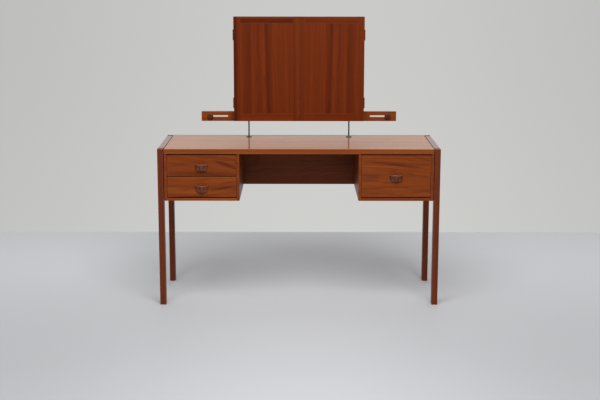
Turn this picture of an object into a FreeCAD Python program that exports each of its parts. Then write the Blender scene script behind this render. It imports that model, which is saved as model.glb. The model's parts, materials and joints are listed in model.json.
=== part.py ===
"""Vanity table: a desk on two end frames, three drawers, and a folding mirror case on two steel posts.

X runs along the table, +Y to its back and +Z up.  The origin is on the floor, in the middle of the
footprint.  Every size is in millimetres and lives in the spreadsheet "Sizes".
"""
import FreeCAD
import Part
import math
import os
import re
import Sketcher

SIZES = {
    # The table as a whole
    "table_width": 1270, "table_depth": 460, "table_height": 720,
    # End frames: two legs and a rail, standing clear of the carcass
    "leg_width": 26, "leg_depth": 38, "end_rail_height": 60, "end_gap": 2.5, "spacer_width": 24,
    "spacer_setback": 10, "spacer_trim": 4, "spacer_overhang": 2,
    # Table top between the end frames
    "top_thick": 22, "top_groove": 2.5, "lipping_width": 8,
    # Carcass: two pedestals and one back panel that joins them
    "pedestal_width": 338.5, "pedestal_height": 213, "side_thick": 13, "bottom_thick": 12,
    "back_thick": 10, "back_setback": 26, "carcass_recess": 2, "top_rail_thick": 8,
    "top_rail_width": 40, "top_rail_setback": 26,
    # Drawers
    "front_recess": 3, "front_thick": 18, "side_reveal": 1.2, "top_reveal": 6,
    "between_reveal": 3.5, "bottom_reveal": 4.5, "upper_front_height": 94, "box_clearance": 27,
    "box_drop": 12, "box_rise": 8, "box_side_thick": 10, "box_back_thick": 9,
    "box_back_drop": 6, "box_back_inset": 8, "box_bottom_thick": 4, "box_bottom_rise": 6,
    "bottom_play": 1, "box_groove": 4, "housing": 3, "lap": 11, "pin_narrow": 5, "pin_wide": 9,
    # Drawer runners
    "runner_height": 8, "runner_end_gap": 22, "runner_setback": 50, "runner_reach": 5,
    "runner_play": 0.4, "groove_front": 44,
    # Drawer pulls
    "pull_width": 64, "pull_foot_width": 51, "pull_height": 31, "pull_reach": 22,
    "pull_foot_reach": 12, "hollow_offset": 14.5, "hollow_width": 22, "hollow_height": 44,
    "hollow_depth": 11, "scoop_width": 50, "scoop_depth": 6.5, "scoop_rise": 1.5, "lip_thick": 5.5,
    "pull_round": 2,
    # Mirror posts
    "post_spacing": 478, "post_inset": 64, "post_diameter": 7, "post_seat": 18,
    "post_tail": 13, "flange_diameter": 28, "flange_thick": 2.5, "nut_corners": 14,
    "nut_thick": 6, "washer_diameter": 20, "washer_thick": 1.5,
    # Mirror case
    "mirror_width": 616, "mirror_height": 491, "mirror_lift": 80, "case_depth": 26,
    "case_edge": 14, "case_foot": 22, "case_back_thick": 6, "glass_thick": 4, "glass_play": 0.3,
    # Mirror doors
    "door_thick": 18, "door_gap": 0.6, "meeting_gap": 1.4, "outer_stile": 31, "inner_stile": 26,
    "door_top_rail": 30, "door_bottom_rail": 36, "door_panel_thick": 12, "door_glass_thick": 3,
    # Door hinges and magnets
    "hinge_height": 50, "hinge_inset": 60, "hinge_offset": 2.5, "knuckle_diameter": 4.4,
    "knuckle_play": 0.3, "leaf_width": 11, "leaf_thick": 1.2, "leaf_play": 0.1,
    "hinge_pin_diameter": 2, "hinge_pin_play": 0.05, "magnet_diameter": 8, "magnet_depth": 6,
    "magnet_offset": 20,
    # Stop rail behind the case, with its two sliding stops
    "stop_rail_height": 46, "stop_rail_thick": 14, "stop_rail_drop": 5, "slot_gap": 31,
    "slot_length": 98, "slot_end_wood": 29, "slot_height": 9, "knob_diameter": 27,
    "knob_reach": 11, "knob_inset": 13.5,
    "stem_diameter": 8, "stop_nut_diameter": 16, "stop_nut_thick": 4, "slide_play": 0.3,
    "knob_round": 3, "screw_diameter": 4, "screw_head": 8, "screw_head_depth": 2.4,
    "screw_length": 30, "screw_spacing": 150, "screw_slot": 1,
    # Eased edges
    "arris": 1, "fine_arris": 0.4,
}

RULES = {
    "front_plane": "(pull_reach - front_recess - table_depth) / 2",
    "leg_inner": "table_width / 2 - leg_width",
    "top_under": "table_height - top_thick",
    "half_top": "leg_inner - top_groove",
    "carcass_half": "leg_inner - end_gap",
    "pedestal_inner": "carcass_half - pedestal_width",
    "pedestal_base": "top_under - pedestal_height",
    "carcass_front": "front_plane + carcass_recess",
    "back_front": "front_plane + table_depth - back_setback - back_thick",
    "side_depth": "back_front - carcass_front",
    "opening_width": "pedestal_width - 2 * side_thick",
    "opening_base": "pedestal_base + bottom_thick",
    "front_face": "front_plane + front_recess",
    "front_back": "front_face + front_thick",
    "front_width": "opening_width - 2 * side_reveal",
    "lower_front_base": "opening_base + bottom_reveal",
    "upper_front_base": "top_under - top_reveal - upper_front_height",
    "lower_front_height": "upper_front_base - between_reveal - lower_front_base",
    "deep_front_height": "top_under - top_reveal - lower_front_base",
    "box_front": "front_back - lap",
    "box_end": "back_front - box_clearance",
    "box_side_length": "box_end - box_front",
    "box_back_front": "box_end - box_back_thick - box_back_inset",
    "runner_length": "back_front - runner_end_gap - front_plane - runner_setback",
    "inner_width": "front_width - 2 * box_side_thick",
    "groove_height": "runner_height + 2 * runner_play",
    "groove_depth": "runner_reach + runner_play",
    "post_y": "front_plane + table_depth - post_inset",
    "case_front": "post_y - case_depth / 2",
    "case_back": "case_front + case_depth",
    "case_base": "table_height + mirror_lift",
    "case_top": "case_base + mirror_height",
    "case_half": "mirror_width / 2",
    "case_inner": "case_half - case_edge",
    "case_inner_base": "case_base + case_foot",
    "case_inner_height": "mirror_height - case_foot - case_edge",
    "door_back": "case_front - door_gap",
    "door_front": "door_back - door_thick",
    "door_width": "case_half - meeting_gap / 2",
    "door_inner_width": "door_width - outer_stile - inner_stile",
    "door_inner_base": "case_base + door_bottom_rail",
    "door_inner_height": "mirror_height - door_bottom_rail - door_top_rail",
    "hinge_x": "case_half + hinge_offset",
    "hinge_y": "case_front - door_gap / 2",
    "knuckle_height": "hinge_height / 3",
    "leaf_plate": "leaf_width - hinge_offset",
    "leaf_depth": "leaf_thick + leaf_play - door_gap / 2",
    "upper_hinge_base": "case_top - hinge_inset - hinge_height",
    "lower_hinge_base": "case_base + hinge_inset",
    "slot_inner": "case_half + slot_gap",
    "slot_outer": "slot_inner + slot_length",
    "stop_rail_length": "2 * (slot_outer + slot_end_wood)",
    "stop_rail_base": "case_base - stop_rail_drop",
    "stop_z": "stop_rail_base + stop_rail_height / 2",
    "knob_place": "slot_outer - knob_inset",
    "screw_z": "case_base + case_foot / 2",
    "stop_rail_back": "case_back + stop_rail_thick",
}

SIDES = (("left", -1), ("right", 1))
SCREW_STEPS = (-1.5, -0.5, 0.5, 1.5)  # where the rail's screws stand, in spacings from its middle
NUT_SIDES = 6
DRAFT = 10  # size that a sketch is first drawn at, before its dimensions set it
QUARTER = math.pi / 2
UPWARD = FreeCAD.Vector(0, 0, 1)
TOUCHING = 0.01  # distance below which a point counts as lying on a face
doc = FreeCAD.newDocument("vanity_table")
sheet = doc.addObject("Spreadsheet::Sheet", "Sizes")
pieces = []


def fill_sheet():
    """Write every driving size into the sheet, one row each, with its name as the alias."""
    for row, (name, number) in enumerate(SIZES.items(), start=1):
        sheet.set(f"A{row}", name)
        sheet.set(f"B{row}", str(number))
        sheet.setAlias(f"B{row}", name)
    doc.recompute()


def bound(text):
    """Turn a formula in the names above into an expression that reads the sheet."""
    def resolve(match):
        word = match.group(0)
        if word in SIZES:
            return "Sizes." + word
        return "(" + bound(RULES[word]) + ")"
    return re.sub(r"[a-z_]+[a-z]", resolve, str(text))


def set_size(thing, path, text):
    """Bind one property of an object to a formula."""
    thing.setExpression(path, bound(text))


def place(thing, at):
    """Bind an object's position to three formulas."""
    for axis, text in zip("xyz", at):
        set_size(thing, "Placement.Base." + axis, text)


def keep(thing, node):
    """Name a finished sub-part, which becomes one file."""
    thing.Label = node
    pieces.append(thing)
    return thing


# ---------------------------------------------------------------- basic shapes

def new_body(name):
    """An empty body."""
    return doc.addObject("PartDesign::Body", name)


def origin_item(body, role):
    """One of a body's own origin planes or axes."""
    return next(item for item in body.Origin.OriginFeatures if item.Role == role)


def new_sketch(body, name, role="XY_Plane", lift=None):
    """An empty sketch on one of the body's origin planes, raised off it by a formula if given."""
    sketch = body.newObject("Sketcher::SketchObject", name)
    sketch.AttachmentSupport = [(origin_item(body, role), "")]
    sketch.MapMode = "FlatFace"
    if lift is not None:
        set_size(sketch, "AttachmentOffset.Base.z", lift)
    return sketch


def name_size(sketch, constraint, name, text):
    """Add a dimension to a sketch, name it and bind it to a formula."""
    index = sketch.addConstraint(constraint)
    sketch.renameConstraint(index, name)
    set_size(sketch, "Constraints." + name, text)


def draw_rectangle(sketch, along, across):
    """A rectangle with one corner on the sketch's origin."""
    corners = [FreeCAD.Vector(*point) for point in ((0, 0), (DRAFT, 0), (DRAFT, DRAFT), (0, DRAFT))]
    following = [*range(1, len(corners)), 0]
    for corner, after in zip(corners, following):
        sketch.addGeometry(Part.LineSegment(corner, corners[after]), False)
    for index, after in enumerate(following):
        sketch.addConstraint(Sketcher.Constraint("Coincident", index, 2, after, 1))
        sketch.addConstraint(Sketcher.Constraint(("Horizontal", "Vertical")[index % 2], index))
    sketch.addConstraint(Sketcher.Constraint("Coincident", 0, 1, -1, 1))
    name_size(sketch, Sketcher.Constraint("DistanceX", 0, 1, 0, 2, DRAFT), "along", along)
    name_size(sketch, Sketcher.Constraint("DistanceY", 1, 1, 1, 2, DRAFT), "across", across)


def draw_circle(sketch, diameter, name):
    """A circle about the sketch's origin."""
    circle = Part.Circle(FreeCAD.Vector(), UPWARD, DRAFT / 2)
    index = sketch.addGeometry(circle, False)
    sketch.addConstraint(Sketcher.Constraint("Coincident", index, 3, -1, 1))
    name_size(sketch, Sketcher.Constraint("Diameter", index, DRAFT), name, diameter)


def add_pad(body, sketch, length, towards_normal=True):
    """Thicken a sketch into the body."""
    pad = body.newObject("PartDesign::Pad", sketch.Name + "_pad")
    pad.Profile = sketch
    set_size(pad, "Length", length)
    pad.Reversed = not towards_normal
    return pad


def on_face(point, box, face):
    """Whether a point lies on one face of a box, such as y0 for its lowest Y."""
    axis, end = face[0].upper(), face[1]
    limit = getattr(box, axis + ("Min" if end == "0" else "Max"))
    return abs(getattr(point, axis.lower()) - limit) < TOUCHING


def ease_edges(body, feature, radius, sharp=()):
    """Round a block's straight edges, but not those on a face, or pair of faces, in sharp."""
    doc.recompute()
    box = feature.Shape.BoundBox
    chosen = []
    for index, edge in enumerate(feature.Shape.Edges, start=1):
        middle = edge.CenterOfMass
        left_sharp = any(all(on_face(middle, box, face) for face in corner.split()) for corner in sharp)
        if not left_sharp:
            chosen.append(f"Edge{index}")
    fillet = body.newObject("PartDesign::Fillet", feature.Name + "_eased")
    fillet.Base = (feature, chosen)
    set_size(fillet, "Radius", radius)
    body.Tip = fillet
    return fillet


def board(name, size, at, radius="arris", sharp=()):
    """A board with eased edges: its lengths along X, Y and Z, and its lowest corner."""
    body = new_body(name)
    sketch = new_sketch(body, name + "_outline")
    draw_rectangle(sketch, size[0], size[1])
    pad = add_pad(body, sketch, size[2])
    if radius is not None:
        ease_edges(body, pad, radius, sharp)
    place(body, at)
    return body


def block(name, size, at):
    """A plain box, for cuts and small blocks."""
    box = doc.addObject("Part::Box", name)
    for side, text in zip(("Length", "Width", "Height"), size):
        set_size(box, side, text)
    place(box, at)
    return box


TURNS = {
    "+Z": FreeCAD.Rotation(),
    "+Y": FreeCAD.Rotation(FreeCAD.Vector(1, 0, 0), -90),
    "-Y": FreeCAD.Rotation(FreeCAD.Vector(1, 0, 0), 90),
}


def rod(name, diameter, length, at, along="+Z"):
    """A plain cylinder from a point, along one of the directions in TURNS."""
    cylinder = doc.addObject("Part::Cylinder", name)
    set_size(cylinder, "Radius", f"({diameter}) / 2")
    set_size(cylinder, "Height", length)
    cylinder.Placement.Rotation = TURNS[along]
    place(cylinder, at)
    return cylinder


def group(name, members):
    """Several separate solids as one sub-part."""
    compound = doc.addObject("Part::Compound", name)
    compound.Links = members
    return compound


def fuse(name, members):
    """One solid from several that touch."""
    fusion = doc.addObject("Part::MultiFuse", name)
    fusion.Shapes = members
    return fusion


def cut(name, base, tools):
    """One shape less several others."""
    result = doc.addObject("Part::Cut", name)
    result.Base = base
    result.Tool = tools[0] if len(tools) == 1 else group(name + "_tools", tools)
    return result


def mirrored_low(side, low, length):
    """The lowest X of something that spans low to low + length on the side whose sign is given."""
    return low if side > 0 else f"-({low}) - ({length})"


# ---------------------------------------------------------------- table top and end frames

def build_top():
    """The top: a board with solid lippings along its front and back, drilled for the posts."""
    width = "2 * half_top"
    blank = board("table_top_blank", (width, "table_depth - 2 * lipping_width", "top_thick"),
                  ("-half_top", "front_plane + lipping_width", "top_under"), "arris", ("y0", "y1"))
    holes = [rod(f"{word}_post_hole", "post_diameter", "top_thick",
                 (f"{sign} * post_spacing / 2", "post_y", "top_under")) for word, sign in SIDES]
    keep(cut("table_top", blank, holes), "table_top")
    size = (width, "lipping_width", "top_thick")
    front = board("front_lipping", size, ("-half_top", "front_plane", "top_under"), "arris", ("y1",))
    back = board("back_lipping", size,
                 ("-half_top", "front_plane + table_depth - lipping_width", "top_under"),
                 "arris", ("y0",))
    keep(group("top_lippings", [front, back]), "top_lippings")


def build_end_frames():
    """Two legs and a top rail at each end, and the strips that hold the carcass off them."""
    spacers = []
    for word, sign in SIDES:
        leg_x = mirrored_low(sign, "leg_inner", "leg_width")
        size = ("leg_width", "leg_depth", "table_height")
        front = board(f"{word}_front_leg", size, (leg_x, "front_plane", 0), "arris", ("y1 z1",))
        back = board(f"{word}_back_leg", size,
                     (leg_x, "front_plane + table_depth - leg_depth", 0), "arris", ("y0 z1",))
        rail = board(f"{word}_end_rail",
                     ("leg_width", "table_depth - 2 * leg_depth", "end_rail_height"),
                     (leg_x, "front_plane + leg_depth", "table_height - end_rail_height"),
                     "arris", ("y0", "y1"))
        for piece in (front, back, rail):
            keep(piece, piece.Name)
        strip = ("end_gap", "spacer_width", "pedestal_height - 2 * spacer_trim")
        strip_x = mirrored_low(sign, "carcass_half", "end_gap")
        back_y = "back_front + back_thick + spacer_overhang - spacer_width"
        for place_word, y in (("front", "front_plane + spacer_setback"), ("back", back_y)):
            spacers.append(board(f"{word}_{place_word}_spacer", strip,
                                 (strip_x, y, "pedestal_base + spacer_trim"), "fine_arris"))
    keep(group("end_frame_spacers", spacers), "end_frame_spacers")


# ---------------------------------------------------------------- carcass

def build_carcass():
    """Four sides, two bottoms, one back panel, and the rails that hold the top down."""
    top_rails = []
    for word, sign in SIDES:
        upright = ("side_thick", "side_depth", "pedestal_height")
        outer_x = mirrored_low(sign, "carcass_half - side_thick", "side_thick")
        inner_x = mirrored_low(sign, "pedestal_inner", "side_thick")
        for place_word, x in (("outer", outer_x), ("inner", inner_x)):
            side = board(f"{word}_{place_word}_side", upright,
                         (x, "carcass_front", "pedestal_base"), "arris", ("y1",))
            keep(side, side.Name)
        opening_x = mirrored_low(sign, "pedestal_inner + side_thick", "opening_width")
        bottom = board(f"{word}_pedestal_bottom", ("opening_width", "side_depth", "bottom_thick"),
                       (opening_x, "carcass_front", "pedestal_base"), "fine_arris", ("y1",))
        keep(bottom, bottom.Name)
        size = ("opening_width", "top_rail_width", "top_rail_thick")
        for place_word, y in (("front", "front_plane + top_rail_setback"),
                              ("back", "back_front - top_rail_width")):
            top_rails.append(board(f"{word}_{place_word}_top_rail", size,
                                   (opening_x, y, "top_under - top_rail_thick"), "fine_arris"))
    keep(group("pedestal_top_rails", top_rails), "pedestal_top_rails")
    back = board("back_panel", ("2 * carcass_half", "back_thick", "pedestal_height"),
                 ("-carcass_half", "back_front", "pedestal_base"), "arris", ("y0",))
    keep(back, "back_panel")


# ---------------------------------------------------------------- drawers

DRAWERS = (
    # name, sign of its side, bottom of its front, height of its front, tails at each corner
    ("upper_left", -1, "upper_front_base", "upper_front_height", 3),
    ("lower_left", -1, "lower_front_base", "lower_front_height", 3),
    ("right", 1, "lower_front_base", "deep_front_height", 6),
)


def corner_pins(name, x, base, height, tails):
    """The pins of one dovetailed corner: narrow at the front and wide towards the box's inside."""
    pins = []
    for index in range(tails + 1):
        pin = doc.addObject("Part::Wedge", f"{name}_pin_{index}")
        spans = {"Xmin": 0, "X2min": 0, "Xmax": "box_side_thick", "X2max": "box_side_thick",
                 "Ymin": 0, "Ymax": "lap", "Zmin": "-pin_narrow / 2", "Zmax": "pin_narrow / 2",
                 "Z2min": "-pin_wide / 2", "Z2max": "pin_wide / 2"}
        for path, text in spans.items():
            set_size(pin, path, text)
        place(pin, (x, "box_front", f"{base} + ({height}) * {index} / {tails}"))
        pins.append(pin)
    return group(name + "_pins", pins)


def build_drawer(name, sign, front_base, front_height, tails):
    """One drawer: a lapped front, two dovetailed and grooved sides, a back and a bottom."""
    front_x = mirrored_low(sign, "pedestal_inner + side_thick + side_reveal", "front_width")
    base = f"{front_base} + box_rise"
    height = f"({front_height}) - box_rise - box_drop"
    runner_z = f"{base} + ({height}) / 2 - runner_height / 2"
    bottom_size = ("inner_width + 2 * box_groove", "box_side_length - lap + box_groove - bottom_play",
                   "box_bottom_thick")
    bottom_at = (f"{front_x} + box_side_thick - box_groove", "front_back - box_groove",
                 f"{base} + box_bottom_rise")
    back_size = ("inner_width + 2 * housing", "box_back_thick",
                 f"{height} - box_bottom_rise - box_bottom_thick - box_back_drop")
    back_at = (f"{front_x} + box_side_thick - housing", "box_back_front",
               f"{base} + box_bottom_rise + box_bottom_thick")
    sides = []
    sockets = [block(f"{name}_front_groove", bottom_size, bottom_at)]
    for word, x, groove_x in (
            ("left", front_x, front_x),
            ("right", f"{front_x} + front_width - box_side_thick",
             f"{front_x} + front_width - groove_depth")):
        label = f"{name}_{word}"
        pins = corner_pins(label, x, base, height, tails)
        blank = board(f"{label}_blank", ("box_side_thick", "box_side_length", height),
                      (x, "box_front", base), "fine_arris", ("y0",))
        groove = block(f"{label}_groove",
                       ("groove_depth", "box_side_length + box_front - front_plane", "groove_height"),
                       (groove_x, "front_plane + groove_front", f"{runner_z} - runner_play"))
        bottom_groove = block(f"{label}_bottom_groove", bottom_size, bottom_at)
        back_housing = block(f"{label}_back_housing", back_size, back_at)
        sides.append(cut(f"{label}_side", blank, [pins, groove, bottom_groove, back_housing]))
        lap_space = block(f"{label}_lap", ("box_side_thick", "lap", height), (x, "box_front", base))
        sockets.append(cut(f"{label}_sockets", lap_space, [pins]))
    keep(group(f"{name}_drawer_sides", sides), f"{name}_drawer_sides")
    blank = board(f"{name}_front_blank", ("front_width", "front_thick", front_height),
                  (front_x, "front_face", front_base), "arris")
    keep(cut(f"{name}_drawer_front", blank, sockets), f"{name}_drawer_front")
    back = board(f"{name}_drawer_back", back_size, back_at, None)
    keep(back, f"{name}_drawer_back")
    bottom = board(f"{name}_drawer_bottom", bottom_size, bottom_at, None)
    keep(bottom, f"{name}_drawer_bottom")
    middle = (f"{front_x} + front_width / 2", "front_face",
              f"{front_base} + ({front_height}) / 2 + pull_height / 4")
    build_pull(f"{name}_drawer_pull", middle)
    runner = ("runner_reach + side_reveal", "runner_length", "runner_height")
    left_x = mirrored_low(sign, "pedestal_inner + side_thick", "opening_width")
    right_x = f"{left_x} + opening_width - runner_reach - side_reveal"
    return [board(f"{name}_{word}_runner", runner, (x, "front_plane + runner_setback", runner_z),
                  "fine_arris") for word, x in (("left", left_x), ("right", right_x))]


def draw_bow(sketch, chord, rise):
    """A bow: a straight chord on the sketch's X axis and an arc that bulges towards -Y."""
    lean = QUARTER / 3
    half, height = FreeCAD.Vector(DRAFT * math.cos(lean), 0, 0), DRAFT * math.sin(lean)
    circle = Part.Circle(FreeCAD.Vector(0, height, 0), UPWARD, DRAFT)
    sketch.addGeometry(Part.ArcOfCircle(circle, math.pi + lean, 2 * math.pi - lean), False)
    sketch.addGeometry(Part.LineSegment(half, -half), False)
    sketch.addConstraint(Sketcher.Constraint("Coincident", 0, 2, 1, 1))
    sketch.addConstraint(Sketcher.Constraint("Coincident", 1, 2, 0, 1))
    sketch.addConstraint(Sketcher.Constraint("Symmetric", 1, 1, 1, 2, -1, 1))
    sketch.addConstraint(Sketcher.Constraint("Horizontal", 1))
    name_size(sketch, Sketcher.Constraint("DistanceX", 1, 2, 1, 1, 2 * half.x), "chord", chord)
    centre_y = f"(({chord}) * ({chord}) / 4 - ({rise}) * ({rise})) / (2 * ({rise}))"
    name_size(sketch, Sketcher.Constraint("DistanceY", -1, 1, 0, 3, height), "centre", centre_y)


def carve(body, name, radii, at):
    """Scoop an ellipsoid out of a body: its X, Y and Z radii, and its middle."""
    scoop = body.newObject("PartDesign::SubtractiveEllipsoid", name)
    scoop.AttachmentSupport = [(origin_item(body, "XY_Plane"), "")]
    scoop.MapMode = "FlatFace"
    for path, text in zip(("Radius2", "Radius3", "Radius1"), radii):
        set_size(scoop, path, text)
    for axis, text in zip("xyz", at):
        set_size(scoop, "AttachmentOffset.Base." + axis, text)
    return scoop


def build_pull(name, at):
    """A carved pull: a bowed lip on a body that tapers down, with a hollow each side of a rib."""
    body = new_body(name)
    top = new_sketch(body, name + "_lip")
    draw_bow(top, "pull_width", "pull_reach")
    foot = new_sketch(body, name + "_foot", lift="-pull_height")
    draw_bow(foot, "pull_foot_width", "pull_foot_reach")
    loft = body.newObject("PartDesign::AdditiveLoft", name + "_taper")
    loft.Profile = top
    loft.Sections = [foot]
    doc.recompute()
    hollow_y = "-(pull_reach + pull_foot_reach) / 2 - hollow_width / 4 + hollow_depth / 2"
    for word, sign in SIDES:
        carve(body, f"{name}_{word}_hollow",
              ("hollow_width / 2", "hollow_width / 4 + hollow_depth / 2", "hollow_height / 2"),
              (f"{sign} * hollow_offset", hollow_y, "-lip_thick - hollow_height / 2"))
    carve(body, name + "_scoop",
          ("scoop_width / 2", "pull_reach - lip_thick - scoop_rise", "scoop_depth + scoop_rise"),
          (0, "-scoop_rise", "scoop_rise"))
    doc.recompute()
    carved = body.Tip
    rim = [(edge.Length, f"Edge{index}") for index, edge in enumerate(carved.Shape.Edges, start=1)
           if abs(edge.CenterOfMass.z) < TOUCHING]
    rounded = body.newObject("PartDesign::Fillet", name + "_rounded")
    rounded.Base = (carved, [max(rim)[1]])
    set_size(rounded, "Radius", "pull_round")
    body.Tip = rounded
    place(body, at)
    keep(body, name)


def build_drawers():
    """All three drawers and the runners that carry them."""
    runners = []
    for drawer in DRAWERS:
        runners += build_drawer(*drawer)
    keep(group("drawer_runners", runners), "drawer_runners")


# ---------------------------------------------------------------- posts

def build_posts():
    """Two steel posts through the top, each with a flange above and a washer and nut below."""
    flanges, nuts = [], []
    for word, sign in SIDES:
        x = f"{sign} * post_spacing / 2"
        post = new_body(f"{word}_mirror_post")
        sketch = new_sketch(post, f"{word}_post_section")
        draw_circle(sketch, "post_diameter", "diameter")
        pad = add_pad(post, sketch, "post_tail + top_thick + mirror_lift + post_seat")
        ease_edges(post, pad, "fine_arris")
        place(post, (x, "post_y", "top_under - post_tail"))
        keep(post, post.Name)
        flange = new_body(f"{word}_flange")
        ring = new_sketch(flange, f"{word}_flange_ring")
        draw_circle(ring, "flange_diameter", "outside")
        draw_circle(ring, "post_diameter", "bore")
        pad = add_pad(flange, ring, "flange_thick")
        ease_edges(flange, pad, "arris", ("z0",))
        place(flange, (x, "post_y", "table_height"))
        flanges.append(flange)
        washer_base = "top_under - washer_thick"
        washer = rod(f"{word}_washer", "washer_diameter", "washer_thick", (x, "post_y", washer_base))
        nut = doc.addObject("Part::Prism", f"{word}_hexagon")
        nut.Polygon = NUT_SIDES
        set_size(nut, "Circumradius", "nut_corners / 2")
        set_size(nut, "Height", "nut_thick")
        place(nut, (x, "post_y", f"{washer_base} - nut_thick"))
        bore = rod(f"{word}_nut_bore", "post_diameter", "washer_thick + nut_thick",
                   (x, "post_y", f"{washer_base} - nut_thick"))
        nuts.append(cut(f"{word}_post_nut", fuse(f"{word}_nut_blank", [washer, nut]), [bore]))
    keep(group("post_flanges", flanges), "post_flanges")
    keep(group("post_nuts", nuts), "post_nuts")


# ---------------------------------------------------------------- mirror case

def leaf_mortises(name, x, y):
    """The spaces that two hinge leaves need in the edge of a side or stile."""
    size = ("leaf_plate + leaf_play", "leaf_depth", "hinge_height")
    return [block(f"{name}_{word}_mortise", size, (x, y, z))
            for word, z in (("upper", "upper_hinge_base"), ("lower", "lower_hinge_base"))]


def build_screws():
    """Countersunk screws that hold the stop rail to the foot of the case."""
    screws = []
    for index, step in enumerate(SCREW_STEPS):
        x = f"screw_spacing * {step}"
        shank = rod(f"screw_{index}_shank", "screw_diameter", "screw_length",
                    (x, "stop_rail_back", "screw_z"), "-Y")
        head = doc.addObject("Part::Cone", f"screw_{index}_head")
        set_size(head, "Radius1", "screw_head / 2")
        set_size(head, "Radius2", "screw_diameter / 2")
        set_size(head, "Height", "screw_head_depth")
        head.Placement.Rotation = TURNS["-Y"]
        place(head, (x, "stop_rail_back", "screw_z"))
        screws.append(fuse(f"screw_{index}", [shank, head]))
    return screws


def build_case():
    """The mirror case: a frame, its back, the middle mirror and the magnets for the doors."""
    edges = []
    for word, sign in SIDES:
        blank = board(f"case_{word}_blank", ("case_edge", "case_depth", "mirror_height"),
                      (mirrored_low(sign, "case_inner", "case_edge"), "case_front", "case_base"))
        mortise_x = mirrored_low(sign, "case_half - leaf_plate - leaf_play", "leaf_plate + leaf_play")
        edges.append(cut(f"case_{word}_side", blank,
                         leaf_mortises(f"case_{word}", mortise_x, "case_front")))
    keep(group("mirror_case_sides", edges), "mirror_case_sides")

    magnets = [rod(f"{word}_magnet", "magnet_diameter", "magnet_depth",
                   (f"{sign} * magnet_offset", "case_front", "case_top - case_edge / 2"), "+Y")
               for word, sign in SIDES]
    seats = [rod(f"{word}_magnet_seat", "magnet_diameter", "magnet_depth",
                 (f"{sign} * magnet_offset", "case_front", "case_top - case_edge / 2"), "+Y")
             for word, sign in SIDES]
    keep(group("door_magnets", magnets), "door_magnets")
    blank = board("case_top_blank", ("2 * case_inner", "case_depth", "case_edge"),
                  ("-case_inner", "case_front", "case_top - case_edge"), "arris", ("x0", "x1"))
    keep(cut("mirror_case_top", blank, seats), "mirror_case_top")

    blank = board("case_bottom_blank", ("2 * case_inner", "case_depth", "case_foot"),
                  ("-case_inner", "case_front", "case_base"), "arris", ("x0", "x1"))
    holes = [rod(f"{word}_post_seat", "post_diameter", "post_seat",
                 (f"{sign} * post_spacing / 2", "post_y", "case_base")) for word, sign in SIDES]
    screws = build_screws()
    keep(cut("mirror_case_bottom", blank, holes + screws), "mirror_case_bottom")
    slots = [block(f"screw_{index}_slot", ("screw_head", "screw_slot", "screw_slot"),
                   (f"screw_spacing * {step} - screw_head / 2",
                    "stop_rail_back - screw_slot", "screw_z - screw_slot / 2"))
             for index, step in enumerate(SCREW_STEPS)]
    slotted = [cut(f"slotted_{screw.Name}", screw, [slot]) for screw, slot in zip(screws, slots)]
    keep(group("stop_rail_screws", slotted), "stop_rail_screws")

    back = board("mirror_case_back", ("2 * case_inner", "case_back_thick", "case_inner_height"),
                 ("-case_inner", "case_back - case_back_thick", "case_inner_base"), None)
    keep(back, "mirror_case_back")
    glass = board("centre_mirror",
                  ("2 * (case_inner - glass_play)", "glass_thick",
                   "case_inner_height - 2 * glass_play"),
                  ("glass_play - case_inner", "case_back - case_back_thick - glass_thick",
                   "case_inner_base + glass_play"), "fine_arris")
    keep(glass, "centre_mirror")
    return screws


def draw_slot(sketch, sign):
    """A level slot with round ends along the middle of the rail, on the side whose sign is given."""
    middle, reach = SIZES["stop_rail_height"] / 2, SIZES["slot_height"] / 2
    inner = SIZES["mirror_width"] / 2 + SIZES["slot_gap"]
    outer = inner + SIZES["slot_length"]
    start, half = outer + SIZES["slot_end_wood"], "stop_rail_length / 2"
    ends = [("slot_inner", inner + reach, "+ slot_height / 2"),
            ("slot_outer", outer - reach, "- slot_height / 2")]
    ends = ends[::sign]
    low, high = [FreeCAD.Vector(start + sign * distance, middle, 0) for _, distance, _ in ends]
    rise = FreeCAD.Vector(0, reach, 0)
    sketch.addGeometry(Part.ArcOfCircle(Part.Circle(low, UPWARD, reach), QUARTER, 3 * QUARTER), False)
    sketch.addGeometry(Part.LineSegment(low - rise, high - rise), False)
    sketch.addGeometry(Part.ArcOfCircle(Part.Circle(high, UPWARD, reach), -QUARTER, QUARTER), False)
    sketch.addGeometry(Part.LineSegment(high + rise, low + rise), False)
    for first, end, second, begin in ((0, 2, 1, 1), (1, 2, 2, 1), (2, 2, 3, 1), (3, 2, 0, 1)):
        sketch.addConstraint(Sketcher.Constraint("Tangent", first, end, second, begin))
    sketch.addConstraint(Sketcher.Constraint("Horizontal", 1))
    name_size(sketch, Sketcher.Constraint("Radius", 0, reach), "end_radius", "slot_height / 2")
    name_size(sketch, Sketcher.Constraint("DistanceY", -1, 1, 0, 3, middle), "middle",
              "stop_rail_height / 2")
    for arc, centre, (name, _, inset) in ((0, low, ends[0]), (2, high, ends[1])):
        name_size(sketch, Sketcher.Constraint("DistanceX", -1, 1, arc, 3, centre.x), name,
                  f"{half} + {sign} * ({name} {inset})")


def build_stop_rail(screws):
    """The long rail behind the case, slotted at both ends for the sliding stops."""
    body = new_body("stop_rail_blank")
    rail = new_sketch(body, "stop_rail_outline")
    draw_rectangle(rail, "stop_rail_length", "stop_rail_thick")
    pad = add_pad(body, rail, "stop_rail_height")
    ease_edges(body, pad, "arris")
    for word, sign in SIDES:
        sketch = new_sketch(body, f"{word}_slot_outline", "XZ_Plane")
        draw_slot(sketch, sign)
        pocket = body.newObject("PartDesign::Pocket", f"{word}_slot")
        pocket.Profile = sketch
        set_size(pocket, "Length", "stop_rail_thick")
        doc.recompute()
    place(body, ("-stop_rail_length / 2", "case_back", "stop_rail_base"))
    keep(cut("stop_rail", body, screws), "stop_rail")


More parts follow.
